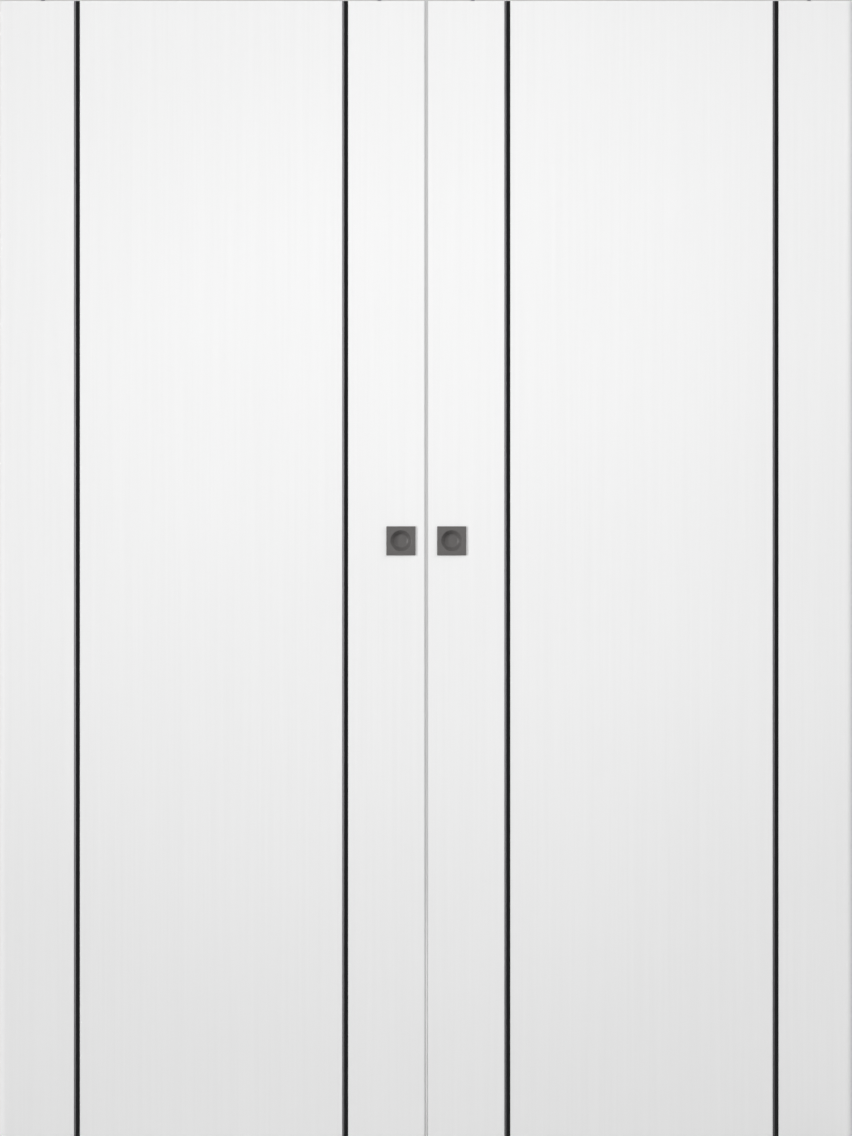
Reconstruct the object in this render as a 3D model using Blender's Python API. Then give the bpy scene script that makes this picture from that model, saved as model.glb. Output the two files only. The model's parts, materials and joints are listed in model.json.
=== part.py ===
"""Double sliding door: two top-hung leaves that part in the middle, on one box track.

Metres, +Z up. X runs along the track, the front faces look along -Y, and the origin is on
the floor below the middle of the track, in the middle of the leaves' thickness.
"""

import math

import bmesh
import bpy
from mathutils import Vector

# Leaf: a framed slab with a skin on each face
SLAB_WIDTH = 0.762
SLAB_HEIGHT = 2.032
SLAB_THICKNESS = 0.040
FLOOR_GAP = 0.008
SKIN_THICKNESS = 0.008
SKIN_LIP = 0.0017
EDGE_BAND_THICKNESS = 0.002
RAIL_HEIGHT = 0.100
GLUE_LINE = 0.0003

# Seal on the meeting edge, one on each leaf
SEAL_THICKNESS = 0.0027
SEAL_CROWN = 0.0006
SEAL_RECESS = 0.001
MEETING_GAP = 0.0006

# Black strips let into grooves in the skins
STRIP_WIDTH = 0.010
STRIP_RISE = 0.0015
STRIP_SLOPE = 0.0032
STRIP_INSET = 0.1415
GROOVE_DEPTH = 0.003
STRIP_CLEARANCE = 0.0003

# Flush pull: a square plate with a round dish, whose cup reaches through the skin
PLATE_MARGIN = 0.0065
PLATE_THICKNESS = 0.003
PLATE_BEVEL = 0.0008
DISH_RADIUS = 0.0195
DISH_RIM_ROUNDING = 0.0012
DISH_FLOOR_ROUNDING = 0.004
DISH_SLOPE_DEG = 55
CUP_WALL = 0.0012
CUP_SETBACK = 0.0001
BORE_CLEARANCE = 0.0003
PULL_BACKSET = 0.042
PULL_HEIGHT = 1.068
PULL_STILE_MARGIN = 0.026

# Hanger plate, let into the top rail, and the bolt that it hangs on
BOLT_RADIUS = 0.004
BOLT_HEAD_FLATS = 0.013
BOLT_HEAD_HEIGHT = 0.0053
BOLT_CLEARANCE = 0.0003
BOLT_ENGAGEMENT = 0.016
HANGER_THICKNESS = 0.003
HANGER_FLANGE = 0.022
HANGER_HEAD_ROOM = 0.0015
HANGER_SIDE_GAP = 0.0012
HANGER_SCREW_RADIUS = 0.00225
MORTISE_CLEARANCE = 0.003
HANGER_INSET = 0.080
HANG_GAP = 0.014

# Trolley with two wheel sets
WHEEL_RADIUS = 0.010
WHEEL_WIDTH = 0.008
WHEEL_CHAMFER = 0.0008
WHEEL_SPACE = 0.016
WHEEL_SIDE_GAP = 0.002
HUB_WALL = 0.0015
HUB_GAP = 0.0006
AXLE_RADIUS = 0.0025
AXLE_CLEARANCE = 0.0002
AXLE_END = 0.001
TROLLEY_CHEEK = 0.00175
TROLLEY_RIM = 0.0035
TROLLEY_BUMPER = 0.003
NECK_WALL = 0.010
NECK_DROP = 0.003

# Track: a box section with a slot below
TRACK_WALL = 0.0025
TRACK_LIP = 0.003
TRACK_HEADROOM = 0.008
TRACK_SIDE_ROOM = 0.002
TRACK_OVERHANG = 0.010
SLOT_CLEARANCE = 0.0012
RUN_GAP = 0.0003
TRACK_SCREW_RADIUS = 0.0025
TRACK_SCREW_SPACING = 0.400
END_CAP_THICKNESS = 0.003
END_CAP_PLUG = 0.010

# Stops clamped in the track
STOP_LENGTH = 0.024
STOP_HEIGHT = 0.018
STOP_FOOT_REACH = 0.006
STOP_FOOT_HEIGHT = 0.003
STOP_CLEARANCE = 0.0003

# Floor guide, whose fin runs in a channel under the leaf
CHANNEL_WIDTH = 0.012
CHANNEL_WALL = 0.0012
FIN_CLEARANCE = 0.0005
FIN_TOP_CLEARANCE = 0.0018
FIN_LENGTH = 0.026
FIN_ENGAGEMENT = 0.012
FIN_CHAMFER = 0.003
GUIDE_BASE_LENGTH = 0.060
GUIDE_BASE_WIDTH = 0.036
GUIDE_BASE_THICKNESS = 0.003
GUIDE_SCREW_RADIUS = 0.00225
OPEN_REVEAL = 0.085

# Facets
ROUND_STEPS = 20
DISH_STEPS = 32
ARC_STEPS = 4
WELD_DISTANCE = 0.000001
SMOOTH_ANGLE_DEG = 35
CUT_MARGIN = 0.002
UNION_OVERLAP = 0.001

# Leaf layout. Across a leaf, u is measured from the slab's middle, towards the outer edge.
LEAF_WIDTH = SLAB_WIDTH + GLUE_LINE + SEAL_THICKNESS
SLAB_HALF = SLAB_WIDTH / 2
SLAB_MIDDLE = MEETING_GAP / 2 + LEAF_WIDTH - SLAB_HALF
BOARD_INNER = -SLAB_HALF
BAND_REACH = EDGE_BAND_THICKNESS + GLUE_LINE
BOARD_OUTER = SLAB_HALF - BAND_REACH
FRAME_HALF = SLAB_THICKNESS / 2 - SKIN_THICKNESS - GLUE_LINE
TRAVEL = LEAF_WIDTH - OPEN_REVEAL
GROOVE_WIDTH = STRIP_WIDTH + 2 * STRIP_CLEARANCE
STRIP_POSITION = SLAB_HALF - STRIP_INSET

# The outer edge is rounded by an arc over skin and band, as large as leaves the skin its lip
EDGE_DROP = SKIN_THICKNESS - SKIN_LIP
EDGE_ROUNDING = EDGE_DROP + BAND_REACH + math.sqrt(2 * EDGE_DROP * BAND_REACH)

# Pull layout
PLATE_SIZE = 2 * (DISH_RADIUS + PLATE_MARGIN)
CUP_RADIUS = DISH_RADIUS + CUP_WALL
BORE_RADIUS = CUP_RADIUS + BORE_CLEARANCE
PLATE_BACK = SLAB_THICKNESS / 2 + GLUE_LINE
PLATE_FACE = PLATE_BACK + PLATE_THICKNESS
CUP_BACK = SLAB_THICKNESS / 2 - SKIN_THICKNESS + CUP_SETBACK
DISH_DEPTH = PLATE_FACE - CUP_BACK - CUP_WALL
PULL_POSITION = PULL_BACKSET - SLAB_HALF
STILE_WIDTH = PULL_BACKSET + BORE_RADIUS + PULL_STILE_MARGIN

# Hanger layout. Heights in a leaf are measured from the slab's lower edge.
HEAD_CORNERS = BOLT_HEAD_FLATS / math.cos(math.pi / 6)
BRIDGE_CLEAR_LENGTH = HEAD_CORNERS + 2 * MORTISE_CLEARANCE
BRIDGE_CLEAR_HEIGHT = BOLT_HEAD_HEIGHT + HANGER_HEAD_ROOM
HANGER_LENGTH = BRIDGE_CLEAR_LENGTH + 2 * (HANGER_THICKNESS + HANGER_FLANGE)
HANGER_HEIGHT = BRIDGE_CLEAR_HEIGHT + HANGER_THICKNESS
MORTISE_DEPTH = HANGER_HEIGHT + GLUE_LINE
MORTISE_LENGTH = HANGER_LENGTH + 2 * MORTISE_CLEARANCE
HANGER_POSITION = SLAB_HALF - HANGER_INSET
HANGER_BASE = SLAB_HEIGHT - HANGER_HEIGHT

# Trolley and track layout
TROLLEY_HALF = BOLT_RADIUS + BOLT_CLEARANCE + TROLLEY_CHEEK
SLOT_HALF = TROLLEY_HALF + SLOT_CLEARANCE
WHEEL_INNER = TROLLEY_HALF + WHEEL_SIDE_GAP
WHEEL_OUTER = WHEEL_INNER + WHEEL_WIDTH
HUB_RADIUS = AXLE_RADIUS + HUB_WALL
AXLE_HALF = WHEEL_OUTER + AXLE_END
TRACK_INNER_HALF = AXLE_HALF + TRACK_SIDE_ROOM
TRACK_OUTER_HALF = TRACK_INNER_HALF + TRACK_WALL
AXLE_OFFSET = WHEEL_RADIUS + WHEEL_SPACE / 2
TROLLEY_REACH = AXLE_OFFSET + WHEEL_RADIUS + TROLLEY_BUMPER
BAR_HALF_HEIGHT = AXLE_RADIUS + AXLE_CLEARANCE + TROLLEY_RIM
NECK_HALF = BOLT_RADIUS + BOLT_CLEARANCE + NECK_WALL
AXLE_ABOVE_TRACK = TRACK_LIP + RUN_GAP + WHEEL_RADIUS
TRACK_HEIGHT = AXLE_ABOVE_TRACK + WHEEL_RADIUS + TRACK_HEADROOM + TRACK_WALL
TRACK_BASE = FLOOR_GAP + SLAB_HEIGHT + HANG_GAP
LEAF_OUTER_EDGE = MEETING_GAP / 2 + LEAF_WIDTH
TRACK_HALF_LENGTH = LEAF_OUTER_EDGE + TRAVEL + TRACK_OVERHANG

# Stops: the centre one reaches both inner trolleys, and an outer one waits at full travel
INNER_TROLLEY_END = SLAB_MIDDLE - HANGER_POSITION - TROLLEY_REACH
OUTER_TROLLEY_END = SLAB_MIDDLE + HANGER_POSITION + TROLLEY_REACH
CENTRE_STOP_HALF = INNER_TROLLEY_END - STOP_CLEARANCE
OUTER_STOP_MIDDLE = OUTER_TROLLEY_END + TRAVEL + STOP_CLEARANCE + STOP_LENGTH / 2

# The guide stands where the leaf covers it both closed and fully open
GUIDE_POSITION = (LEAF_OUTER_EDGE + MEETING_GAP / 2 + TRAVEL) / 2
CHANNEL_DEPTH = FIN_ENGAGEMENT + FIN_TOP_CLEARANCE + CHANNEL_WALL
FIN_HALF = CHANNEL_WIDTH / 2 - CHANNEL_WALL - FIN_CLEARANCE
GUIDE_SCREW_OFFSET = (FIN_LENGTH + GUIDE_BASE_LENGTH) / 4

SIDES = {"left": -1, "right": 1}
FACES = {"front": -1, "back": 1}


def place_point(axis, along, first, second):
    """A point from its distance along an axis and the two coordinates across it, in X, Y, Z order."""
    if axis == "X":
        return (along, first, second)
    if axis == "Y":
        return (first, along, second)
    return (first, second, along)


def as_mesh(name, bm):
    bmesh.ops.recalc_face_normals(bm, faces=bm.faces)
    mesh = bpy.data.meshes.new(name)
    bm.to_mesh(mesh)
    bm.free()
    return mesh


def add_prism(bm, outline, axis, start, end):
    corners = [bm.verts.new(place_point(axis, start, *corner)) for corner in outline]
    base = bm.faces.new(corners)
    grown = bmesh.ops.extrude_face_region(bm, geom=[base])["geom"]
    far_side = [item for item in grown if isinstance(item, bmesh.types.BMVert)]
    bmesh.ops.translate(bm, verts=far_side, vec=place_point(axis, end - start, 0, 0))


def prism(name, outline, axis, start, end):
    """A closed prism on an outline across the axis."""
    bm = bmesh.new()
    add_prism(bm, outline, axis, start, end)
    return as_mesh(name, bm)


def rods(name, axis, places, radius):
    """Round rods along one axis. A place is (start, end, first, second), as place_point takes them."""
    bm = bmesh.new()
    for start, end, first, second in places:
        add_prism(bm, circle(radius, ROUND_STEPS, first, second), axis, start, end)
    return as_mesh(name, bm)


def turned(name, profile, axis, steps):
    """A profile of (radius, distance along the axis), turned about the axis that its ends lie on."""
    bm = bmesh.new()
    points = [bm.verts.new(place_point(axis, along, radius, 0)) for radius, along in profile]
    edges = [bm.edges.new(pair) for pair in zip(points, points[1:])]
    bmesh.ops.spin(
        bm,
        geom=points + edges,
        cent=(0, 0, 0),
        axis=Vector(place_point(axis, 1, 0, 0)),
        angle=2 * math.pi,
        steps=steps,
    )
    bmesh.ops.remove_doubles(bm, verts=bm.verts, dist=WELD_DISTANCE)
    return as_mesh(name, bm)


def rectangle(first_low, first_high, second_low, second_high):
    return [
        (first_low, second_low),
        (first_high, second_low),
        (first_high, second_high),
        (first_low, second_high),
    ]


def circle(radius, steps, first=0.0, second=0.0):
    turns = [2 * math.pi * step / steps for step in range(steps)]
    return [(first + radius * math.cos(a), second + radius * math.sin(a)) for a in turns]


def arc(first, second, radius, start_deg, end_deg, steps=ARC_STEPS):
    angles = [
        math.radians(start_deg + (end_deg - start_deg) * step / steps)
        for step in range(steps + 1)
    ]
    return [(first + radius * math.cos(a), second + radius * math.sin(a)) for a in angles]


def crown(half_width, rise):
    """Points of a low arch over a width, from its left foot to its right one."""
    radius = (half_width**2 + rise**2) / (2 * rise)
    spread = math.degrees(math.asin(half_width / radius))
    return arc(0, rise - radius, radius, 90 + spread, 90 - spread, 2 * ARC_STEPS)


def make_material(name, colour, roughness, metallic=0.0):
    material = bpy.data.materials.new(name)
    material.use_nodes = True
    shader = material.node_tree.nodes["Principled BSDF"]
    shader.inputs["Base Color"].default_value = (*colour, 1.0)
    shader.inputs["Roughness"].default_value = roughness
    shader.inputs["Metallic"].default_value = metallic
    return material


def make_materials():
    return {
        "white laminate": make_material("white laminate", (0.86, 0.86, 0.86), 0.45),
        "white edge band": make_material("white edge band", (0.84, 0.84, 0.84), 0.40),
        "black strip": make_material("black strip", (0.012, 0.012, 0.012), 0.32, 0.4),
        "grey seal": make_material("grey seal", (0.50, 0.50, 0.50), 0.65),
        "graphite zinc": make_material("graphite zinc", (0.13, 0.127, 0.124), 0.38, 0.7),
        "pine": make_material("pine", (0.66, 0.47, 0.28), 0.60),
        "chipboard": make_material("chipboard", (0.50, 0.37, 0.24), 0.80),
        "anodised aluminium": make_material("anodised aluminium", (0.72, 0.72, 0.73), 0.35, 1.0),
        "zinc plated steel": make_material("zinc plated steel", (0.62, 0.62, 0.64), 0.35, 1.0),
        "black nylon": make_material("black nylon", (0.03, 0.03, 0.03), 0.50),
        "white nylon": make_material("white nylon", (0.80, 0.80, 0.77), 0.45),
    }


def add_solid(name, mesh, material, parent=None, location=(0, 0, 0)):
    mesh.materials.append(material)
    mesh.shade_smooth()
    mesh.set_sharp_from_angle(angle=math.radians(SMOOTH_ANGLE_DEG))
    solid = bpy.data.objects.new(name, mesh)
    bpy.context.scene.collection.objects.link(solid)
    solid.parent = parent
    solid.location = location
    return solid


def add_helper(name, mesh, parent=None, location=(0, 0, 0)):
    """A shape that only cuts or joins another."""
    helper = bpy.data.objects.new(name, mesh)
    bpy.context.scene.collection.objects.link(helper)
    helper.parent = parent
    helper.location = location
    helper.hide_render = True
    helper.display_type = "WIRE"
    return helper


def combine(solid, helper, operation):
    modifier = solid.modifiers.new(helper.name, "BOOLEAN")
    modifier.operation = operation
    modifier.solver = "EXACT"
    modifier.object = helper


def add_empty(name, location, parent=None):
    empty = bpy.data.objects.new(name, None)
    bpy.context.scene.collection.objects.link(empty)
    empty.parent = parent
    empty.location = location
    return empty


def span(side, near, far):
    """X limits in a leaf from two distances u, in rising order."""
    return sorted((side * near, side * far))


def make_frame(label, side, leaf, materials):
    """Two rails across the slab's full width, two stiles between them, and the core."""
    low, high = span(side, BOARD_INNER, BOARD_OUTER)
    mortise_low = SLAB_HEIGHT - MORTISE_DEPTH
    middles = sorted((-HANGER_POSITION, HANGER_POSITION))
    top_edge = [(high, SLAB_HEIGHT - RAIL_HEIGHT), (high, SLAB_HEIGHT)]
    for middle in reversed(middles):
        near, far = middle - MORTISE_LENGTH / 2, middle + MORTISE_LENGTH / 2
        top_edge += [(far, SLAB_HEIGHT), (far, mortise_low), (near, mortise_low), (near, SLAB_HEIGHT)]
    top_rail = top_edge + [(low, SLAB_HEIGHT), (low, SLAB_HEIGHT - RAIL_HEIGHT)]
    mesh = prism("top rail", top_rail, "Y", -FRAME_HALF, FRAME_HALF)
    add_solid(f"{label}_top_rail", mesh, materials["pine"], leaf)

    groove = CHANNEL_WIDTH / 2 + GLUE_LINE
    groove_top = CHANNEL_DEPTH + GLUE_LINE
    bottom_rail = [
        (-FRAME_HALF, 0),
        (-groove, 0),
        (-groove, groove_top),
        (groove, groove_top),
        (groove, 0),
        (FRAME_HALF, 0),
        (FRAME_HALF, RAIL_HEIGHT),
        (-FRAME_HALF, RAIL_HEIGHT),
    ]
    mesh = prism("bottom rail", bottom_rail, "X", low, high)
    add_solid(f"{label}_bottom_rail", mesh, materials["pine"], leaf)

    between_low = RAIL_HEIGHT + GLUE_LINE
    between_high = SLAB_HEIGHT - RAIL_HEIGHT - GLUE_LINE
    stiles = {
        "meeting_stile": (BOARD_INNER, BOARD_INNER + STILE_WIDTH),
        "outer_stile": (BOARD_OUTER - STILE_WIDTH, BOARD_OUTER),
    }
    for name, limits in stiles.items():
        outline = rectangle(*span(side, *limits), -FRAME_HALF, FRAME_HALF)
        mesh = prism(name, outline, "Z", between_low, between_high)
        add_solid(f"{label}_{name}", mesh, materials["pine"], leaf)

    inner = BOARD_INNER + STILE_WIDTH + GLUE_LINE
    outer = BOARD_OUTER - STILE_WIDTH - GLUE_LINE
    outline = rectangle(*span(side, inner, outer), -FRAME_HALF, FRAME_HALF)
    mesh = prism("core", outline, "Z", between_low, between_high)
    add_solid(f"{label}_core", mesh, materials["chipboard"], leaf)


def edge_arc(start, end):
    """Points (u, y) of the arc that rounds off a face, between two distances in from the outer edge."""
    turns = [math.degrees(math.acos(1 - inset / EDGE_ROUNDING)) for inset in (start, end)]
    middle = SLAB_THICKNESS / 2 - EDGE_ROUNDING
    return arc(SLAB_HALF - EDGE_ROUNDING, middle, EDGE_ROUNDING, *turns)


def make_skin(label, side, leaf, materials, face_name):
    """A sheet over one face of the frame, rounded at its outer edge, grooved and bored."""
    face = FACES[face_name]
    outside = face * SLAB_THICKNESS / 2
    inside = face * (SLAB_THICKNESS / 2 - SKIN_THICKNESS)
    groove_floor = face * (SLAB_THICKNESS / 2 - GROOVE_DEPTH)
    outline = [(BOARD_INNER, inside), (BOARD_OUTER, inside)]
    outline += [(u, face * y) for u, y in edge_arc(BAND_REACH, EDGE_ROUNDING)]
    for middle in (STRIP_POSITION, -STRIP_POSITION):
        near, far = middle - GROOVE_WIDTH / 2, middle + GROOVE_WIDTH / 2
        outline += [(far, outside), (far, groove_floor), (near, groove_floor), (near, outside)]
    outline.append((BOARD_INNER, outside))
    mesh = prism("skin", [(side * u, y) for u, y in outline], "Z", 0, SLAB_HEIGHT)
    skin = add_solid(f"{label}_{face_name}_skin", mesh, materials["white laminate"], leaf)
    limits = (inside - face * CUT_MARGIN, outside + face * CUT_MARGIN)
    mesh = prism("bore", circle(BORE_RADIUS, DISH_STEPS), "Y", *limits)
    place = (side * PULL_POSITION, 0, PULL_HEIGHT)
    combine(skin, add_helper(f"{label}_{face_name}_pull_bore", mesh, leaf, place), "DIFFERENCE")


def make_strips(label, side, leaf, materials, face_name):
    """Two strips with sloping shoulders that fill a face's grooves from top to bottom."""
    face = FACES[face_name]
    surface = SLAB_THICKNESS / 2
    foot = surface - GROOVE_DEPTH + STRIP_CLEARANCE
    half = STRIP_WIDTH / 2
    right = [(half, foot), (half, surface), (half - STRIP_SLOPE, surface + STRIP_RISE)]
    outline = [(x, face * y) for x, y in right + [(-x, y) for x, y in reversed(right)]]
    for name, position in {"inner": -STRIP_POSITION, "outer": STRIP_POSITION}.items():
        mesh = prism("strip", outline, "Z", 0, SLAB_HEIGHT)
        place = (side * position, 0, 0)
        add_solid(f"{label}_{face_name}_{name}_strip", mesh, materials["black strip"], leaf, place)


def make_edges(label, side, leaf, materials):
    """The band on the outer edge, which ends the skins' rounding, and the bulged seal on the meeting edge."""
    upper = edge_arc(EDGE_BAND_THICKNESS, 0)
    outline = [(side * u, y) for u, y in upper + [(u, -y) for u, y in reversed(upper)]]
    mesh = prism("edge band", outline, "Z", 0, SLAB_HEIGHT)
    add_solid(f"{label}_outer_edge_band", mesh, materials["white edge band"], leaf)

    foot = -SLAB_HALF - GLUE_LINE
    shoulder = foot - SEAL_THICKNESS + SEAL_CROWN
    width = SLAB_THICKNESS / 2 - SEAL_RECESS
    bulge = [(shoulder - rise, y) for y, rise in crown(width, SEAL_CROWN)]
    outline = [(side * u, y) for u, y in [(foot, width), (foot, -width)] + bulge]
    mesh = prism("seal", outline, "Z", 0, SLAB_HEIGHT)
    add_solid(f"{label}_meeting_seal", mesh, materials["grey seal"], leaf)


def dish_profile():
    """The hollow of the pull from its floor to past the plate, as (radius, distance from the slab)."""
    slope = math.radians(DISH_SLOPE_DEG)
    rim_reach = DISH_RIM_ROUNDING * math.tan(slope / 2)
    floor_reach = DISH_FLOOR_ROUNDING * math.tan(slope / 2)
    edge = DISH_RADIUS - rim_reach
    floor = edge - DISH_DEPTH / math.tan(slope)
    floor_height = PLATE_FACE - DISH_DEPTH
    profile = [(0, floor_height)]
    profile += arc(
        floor - floor_reach, floor_height + DISH_FLOOR_ROUNDING, DISH_FLOOR_ROUNDING,
        -90, -90 + DISH_SLOPE_DEG,
    )
    profile += arc(
        DISH_RADIUS, PLATE_FACE - DISH_RIM_ROUNDING, DISH_RIM_ROUNDING, 90 + DISH_SLOPE_DEG, 90,
    )
    profile += [(DISH_RADIUS, PLATE_FACE + CUT_MARGIN), (0, PLATE_FACE + CUT_MARGIN)]
    return profile


def make_pull(label, side, leaf, materials, face_name):
    """A square plate on the face and the cup behind it, with the finger dish sunk into both."""
    face = FACES[face_name]
    place = (side * PULL_POSITION, 0, PULL_HEIGHT)
    half = PLATE_SIZE / 2
    mesh = prism("pull", rectangle(-half, half, -half, half), "Y", face * PLATE_BACK, face * PLATE_FACE)
    pull = add_solid(f"{label}_{face_name}_pull", mesh, materials["graphite zinc"], leaf, place)
    bevel = pull.modifiers.new("edges", "BEVEL")
    bevel.width = PLATE_BEVEL
    bevel.segments = 2

    cup = circle(CUP_RADIUS, DISH_STEPS)
    mesh = prism("cup", cup, "Y", face * CUP_BACK, face * (PLATE_BACK + PLATE_THICKNESS / 2))
    combine(pull, add_helper(f"{label}_{face_name}_cup", mesh, leaf, place), "UNION")
    profile = [(radius, face * height) for radius, height in dish_profile()]
    mesh = turned("dish", profile, "Y", DISH_STEPS)
    combine(pull, add_helper(f"{label}_{face_name}_dish", mesh, leaf, place), "DIFFERENCE")


def make_channel(label, side, leaf, materials):
    """The lining of the groove under the leaf, open below."""
    outer = CHANNEL_WIDTH / 2
    inner = outer - CHANNEL_WALL
    ceiling = CHANNEL_DEPTH - CHANNEL_WALL
    outline = [
        (-outer, 0),
        (-inner, 0),
        (-inner, ceiling),
        (inner, ceiling),
        (inner, 0),
        (outer, 0),
        (outer, CHANNEL_DEPTH),
        (-outer, CHANNEL_DEPTH),
    ]
    mesh = prism("channel", outline, "X", *span(side, BOARD_INNER, BOARD_OUTER))
    add_solid(f"{label}_guide_channel", mesh, materials["anodised aluminium"], leaf)


def make_hanger(label, name, leaf, materials, position):
    """A hat-shaped plate screwed into its mortise, and the bolt that hangs head down under its bridge."""
    clear_half = BRIDGE_CLEAR_LENGTH / 2
    wall_half = clear_half + HANGER_THICKNESS
    end = HANGER_LENGTH / 2
    thickness = HANGER_THICKNESS
    outline = [
        (-end, 0),
        (-clear_half, 0),
        (-clear_half, BRIDGE_CLEAR_HEIGHT),
        (clear_half, BRIDGE_CLEAR_HEIGHT),
        (clear_half, 0),
        (end, 0),
        (end, thickness),
        (wall_half, thickness),
        (wall_half, HANGER_HEIGHT),
        (-wall_half, HANGER_HEIGHT),
        (-wall_half, thickness),
        (-end, thickness),
    ]
    width = FRAME_HALF - HANGER_SIDE_GAP
    mesh = prism("hanger plate", outline, "Y", -width, width)
    place = (position, 0, HANGER_BASE)
    plate = add_solid(f"{label}_{name}_hanger_plate", mesh, materials["zinc plated steel"], leaf, place)
    low, high = -CUT_MARGIN, HANGER_HEIGHT + CUT_MARGIN
    screw_place = wall_half + HANGER_FLANGE / 2
    screws = [(low, high, x, 0) for x in (-screw_place, screw_place)]
    mesh = rods("screw holes", "Z", screws, HANGER_SCREW_RADIUS)
    combine(plate, add_helper(f"{label}_{name}_plate_screws", mesh, leaf, place), "DIFFERENCE")
    hole = [(BRIDGE_CLEAR_HEIGHT - CUT_MARGIN, high, 0, 0)]
    mesh = rods("bolt hole", "Z", hole, BOLT_RADIUS + BOLT_CLEARANCE)
    combine(plate, add_helper(f"{label}_{name}_plate_hole", mesh, leaf, place), "DIFFERENCE")

    head_top = BRIDGE_CLEAR_HEIGHT - BOLT_CLEARANCE
    head = circle(HEAD_CORNERS / 2, 6)
    mesh = prism("bolt", head, "Z", head_top - BOLT_HEAD_HEIGHT, head_top)
    bolt = add_solid(f"{label}_{name}_hanger_bolt", mesh, materials["zinc plated steel"], leaf, place)
    neck_low = HANGER_HEIGHT + HANG_GAP - NECK_DROP
    shank = [(head_top - UNION_OVERLAP, neck_low + BOLT_ENGAGEMENT, 0, 0)]
    mesh = rods("shank", "Z", shank, BOLT_RADIUS)
    combine(bolt, add_helper(f"{label}_{name}_shank", mesh, leaf, place), "UNION")


def make_trolley(label, side, name, leaf, materials, position):
    """The carriage in the track: a bar that holds two axles, and a neck through the slot for the bolt."""
    neck_low = -AXLE_ABOVE_TRACK - NECK_DROP
    outline = [
        (-TROLLEY_REACH, -BAR_HALF_HEIGHT),
        (-NECK_HALF, -BAR_HALF_HEIGHT),
        (-NECK_HALF, neck_low),
        (NECK_HALF, neck_low),
        (NECK_HALF, -BAR_HALF_HEIGHT),
        (TROLLEY_REACH, -BAR_HALF_HEIGHT),
        (TROLLEY_REACH, BAR_HALF_HEIGHT),
        (-TROLLEY_REACH, BAR_HALF_HEIGHT),
    ]
    mesh = prism("trolley", outline, "Y", -TROLLEY_HALF, TROLLEY_HALF)
    place = (position, 0, TRACK_BASE - FLOOR_GAP + AXLE_ABOVE_TRACK)
    trolley = add_solid(f"{label}_{name}_trolley", mesh, materials["zinc plated steel"], leaf, place)
    reach = TROLLEY_HALF + CUT_MARGIN
    bores = [(-reach, reach, x, 0) for x in (-AXLE_OFFSET, AXLE_OFFSET)]
    mesh = rods("axle bores", "Y", bores, AXLE_RADIUS + AXLE_CLEARANCE)
    combine(trolley, add_helper(f"{label}_{name}_axle_bores", mesh, leaf, place), "DIFFERENCE")
    bolt = [(neck_low - CUT_MARGIN, neck_low + BOLT_ENGAGEMENT + BOLT_CLEARANCE, 0, 0)]
    mesh = rods("bolt bore", "Z", bolt, BOLT_RADIUS + BOLT_CLEARANCE)
    combine(trolley, add_helper(f"{label}_{name}_bolt_bore", mesh, leaf, place), "DIFFERENCE")
    for wheels, offset in {"inboard": -AXLE_OFFSET, "outboard": AXLE_OFFSET}.items():
        axle = (position + side * offset, 0, place[2])
        mesh = turned("wheel set", wheel_set_profile(), "Y", ROUND_STEPS)
        add_solid(f"{label}_{name}_trolley_{wheels}_wheels", mesh, materials["white nylon"], leaf, axle)


def wheel_set_profile():
    """Two wheels on one axle, as (radius, distance along the axle)."""
    hub_start = TROLLEY_HALF + HUB_GAP
    half = [
        (AXLE_RADIUS, hub_start),
        (HUB_RADIUS, hub_start),
        (HUB_RADIUS, WHEEL_INNER),
        (WHEEL_RADIUS - WHEEL_CHAMFER, WHEEL_INNER),
        (WHEEL_RADIUS, WHEEL_INNER + WHEEL_CHAMFER),
        (WHEEL_RADIUS, WHEEL_OUTER - WHEEL_CHAMFER),
        (WHEEL_RADIUS - WHEEL_CHAMFER, WHEEL_OUTER),
        (AXLE_RADIUS, WHEEL_OUTER),
        (AXLE_RADIUS, AXLE_HALF),
        (0, AXLE_HALF),
    ]
    return [(radius, -along) for radius, along in reversed(half)] + half


def make_leaf(label, side, materials):
    leaf = add_empty(f"{label}_leaf", (side * SLAB_MIDDLE, 0, FLOOR_GAP))
    make_frame(label, side, leaf, materials)
    for face_name in FACES:
        make_skin(label, side, leaf, materials, face_name)
        make_strips(label, side, leaf, materials, face_name)
        make_pull(label, side, leaf, materials, face_name)
    make_edges(label, side, leaf, materials)
    make_channel(label, side, leaf, materials)
    for name, u in {"inner": -HANGER_POSITION, "outer": HANGER_POSITION}.items():
        make_hanger(label, name, leaf, materials, side * u)
        make_trolley(label, side, name, leaf, materials, side * u)


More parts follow.
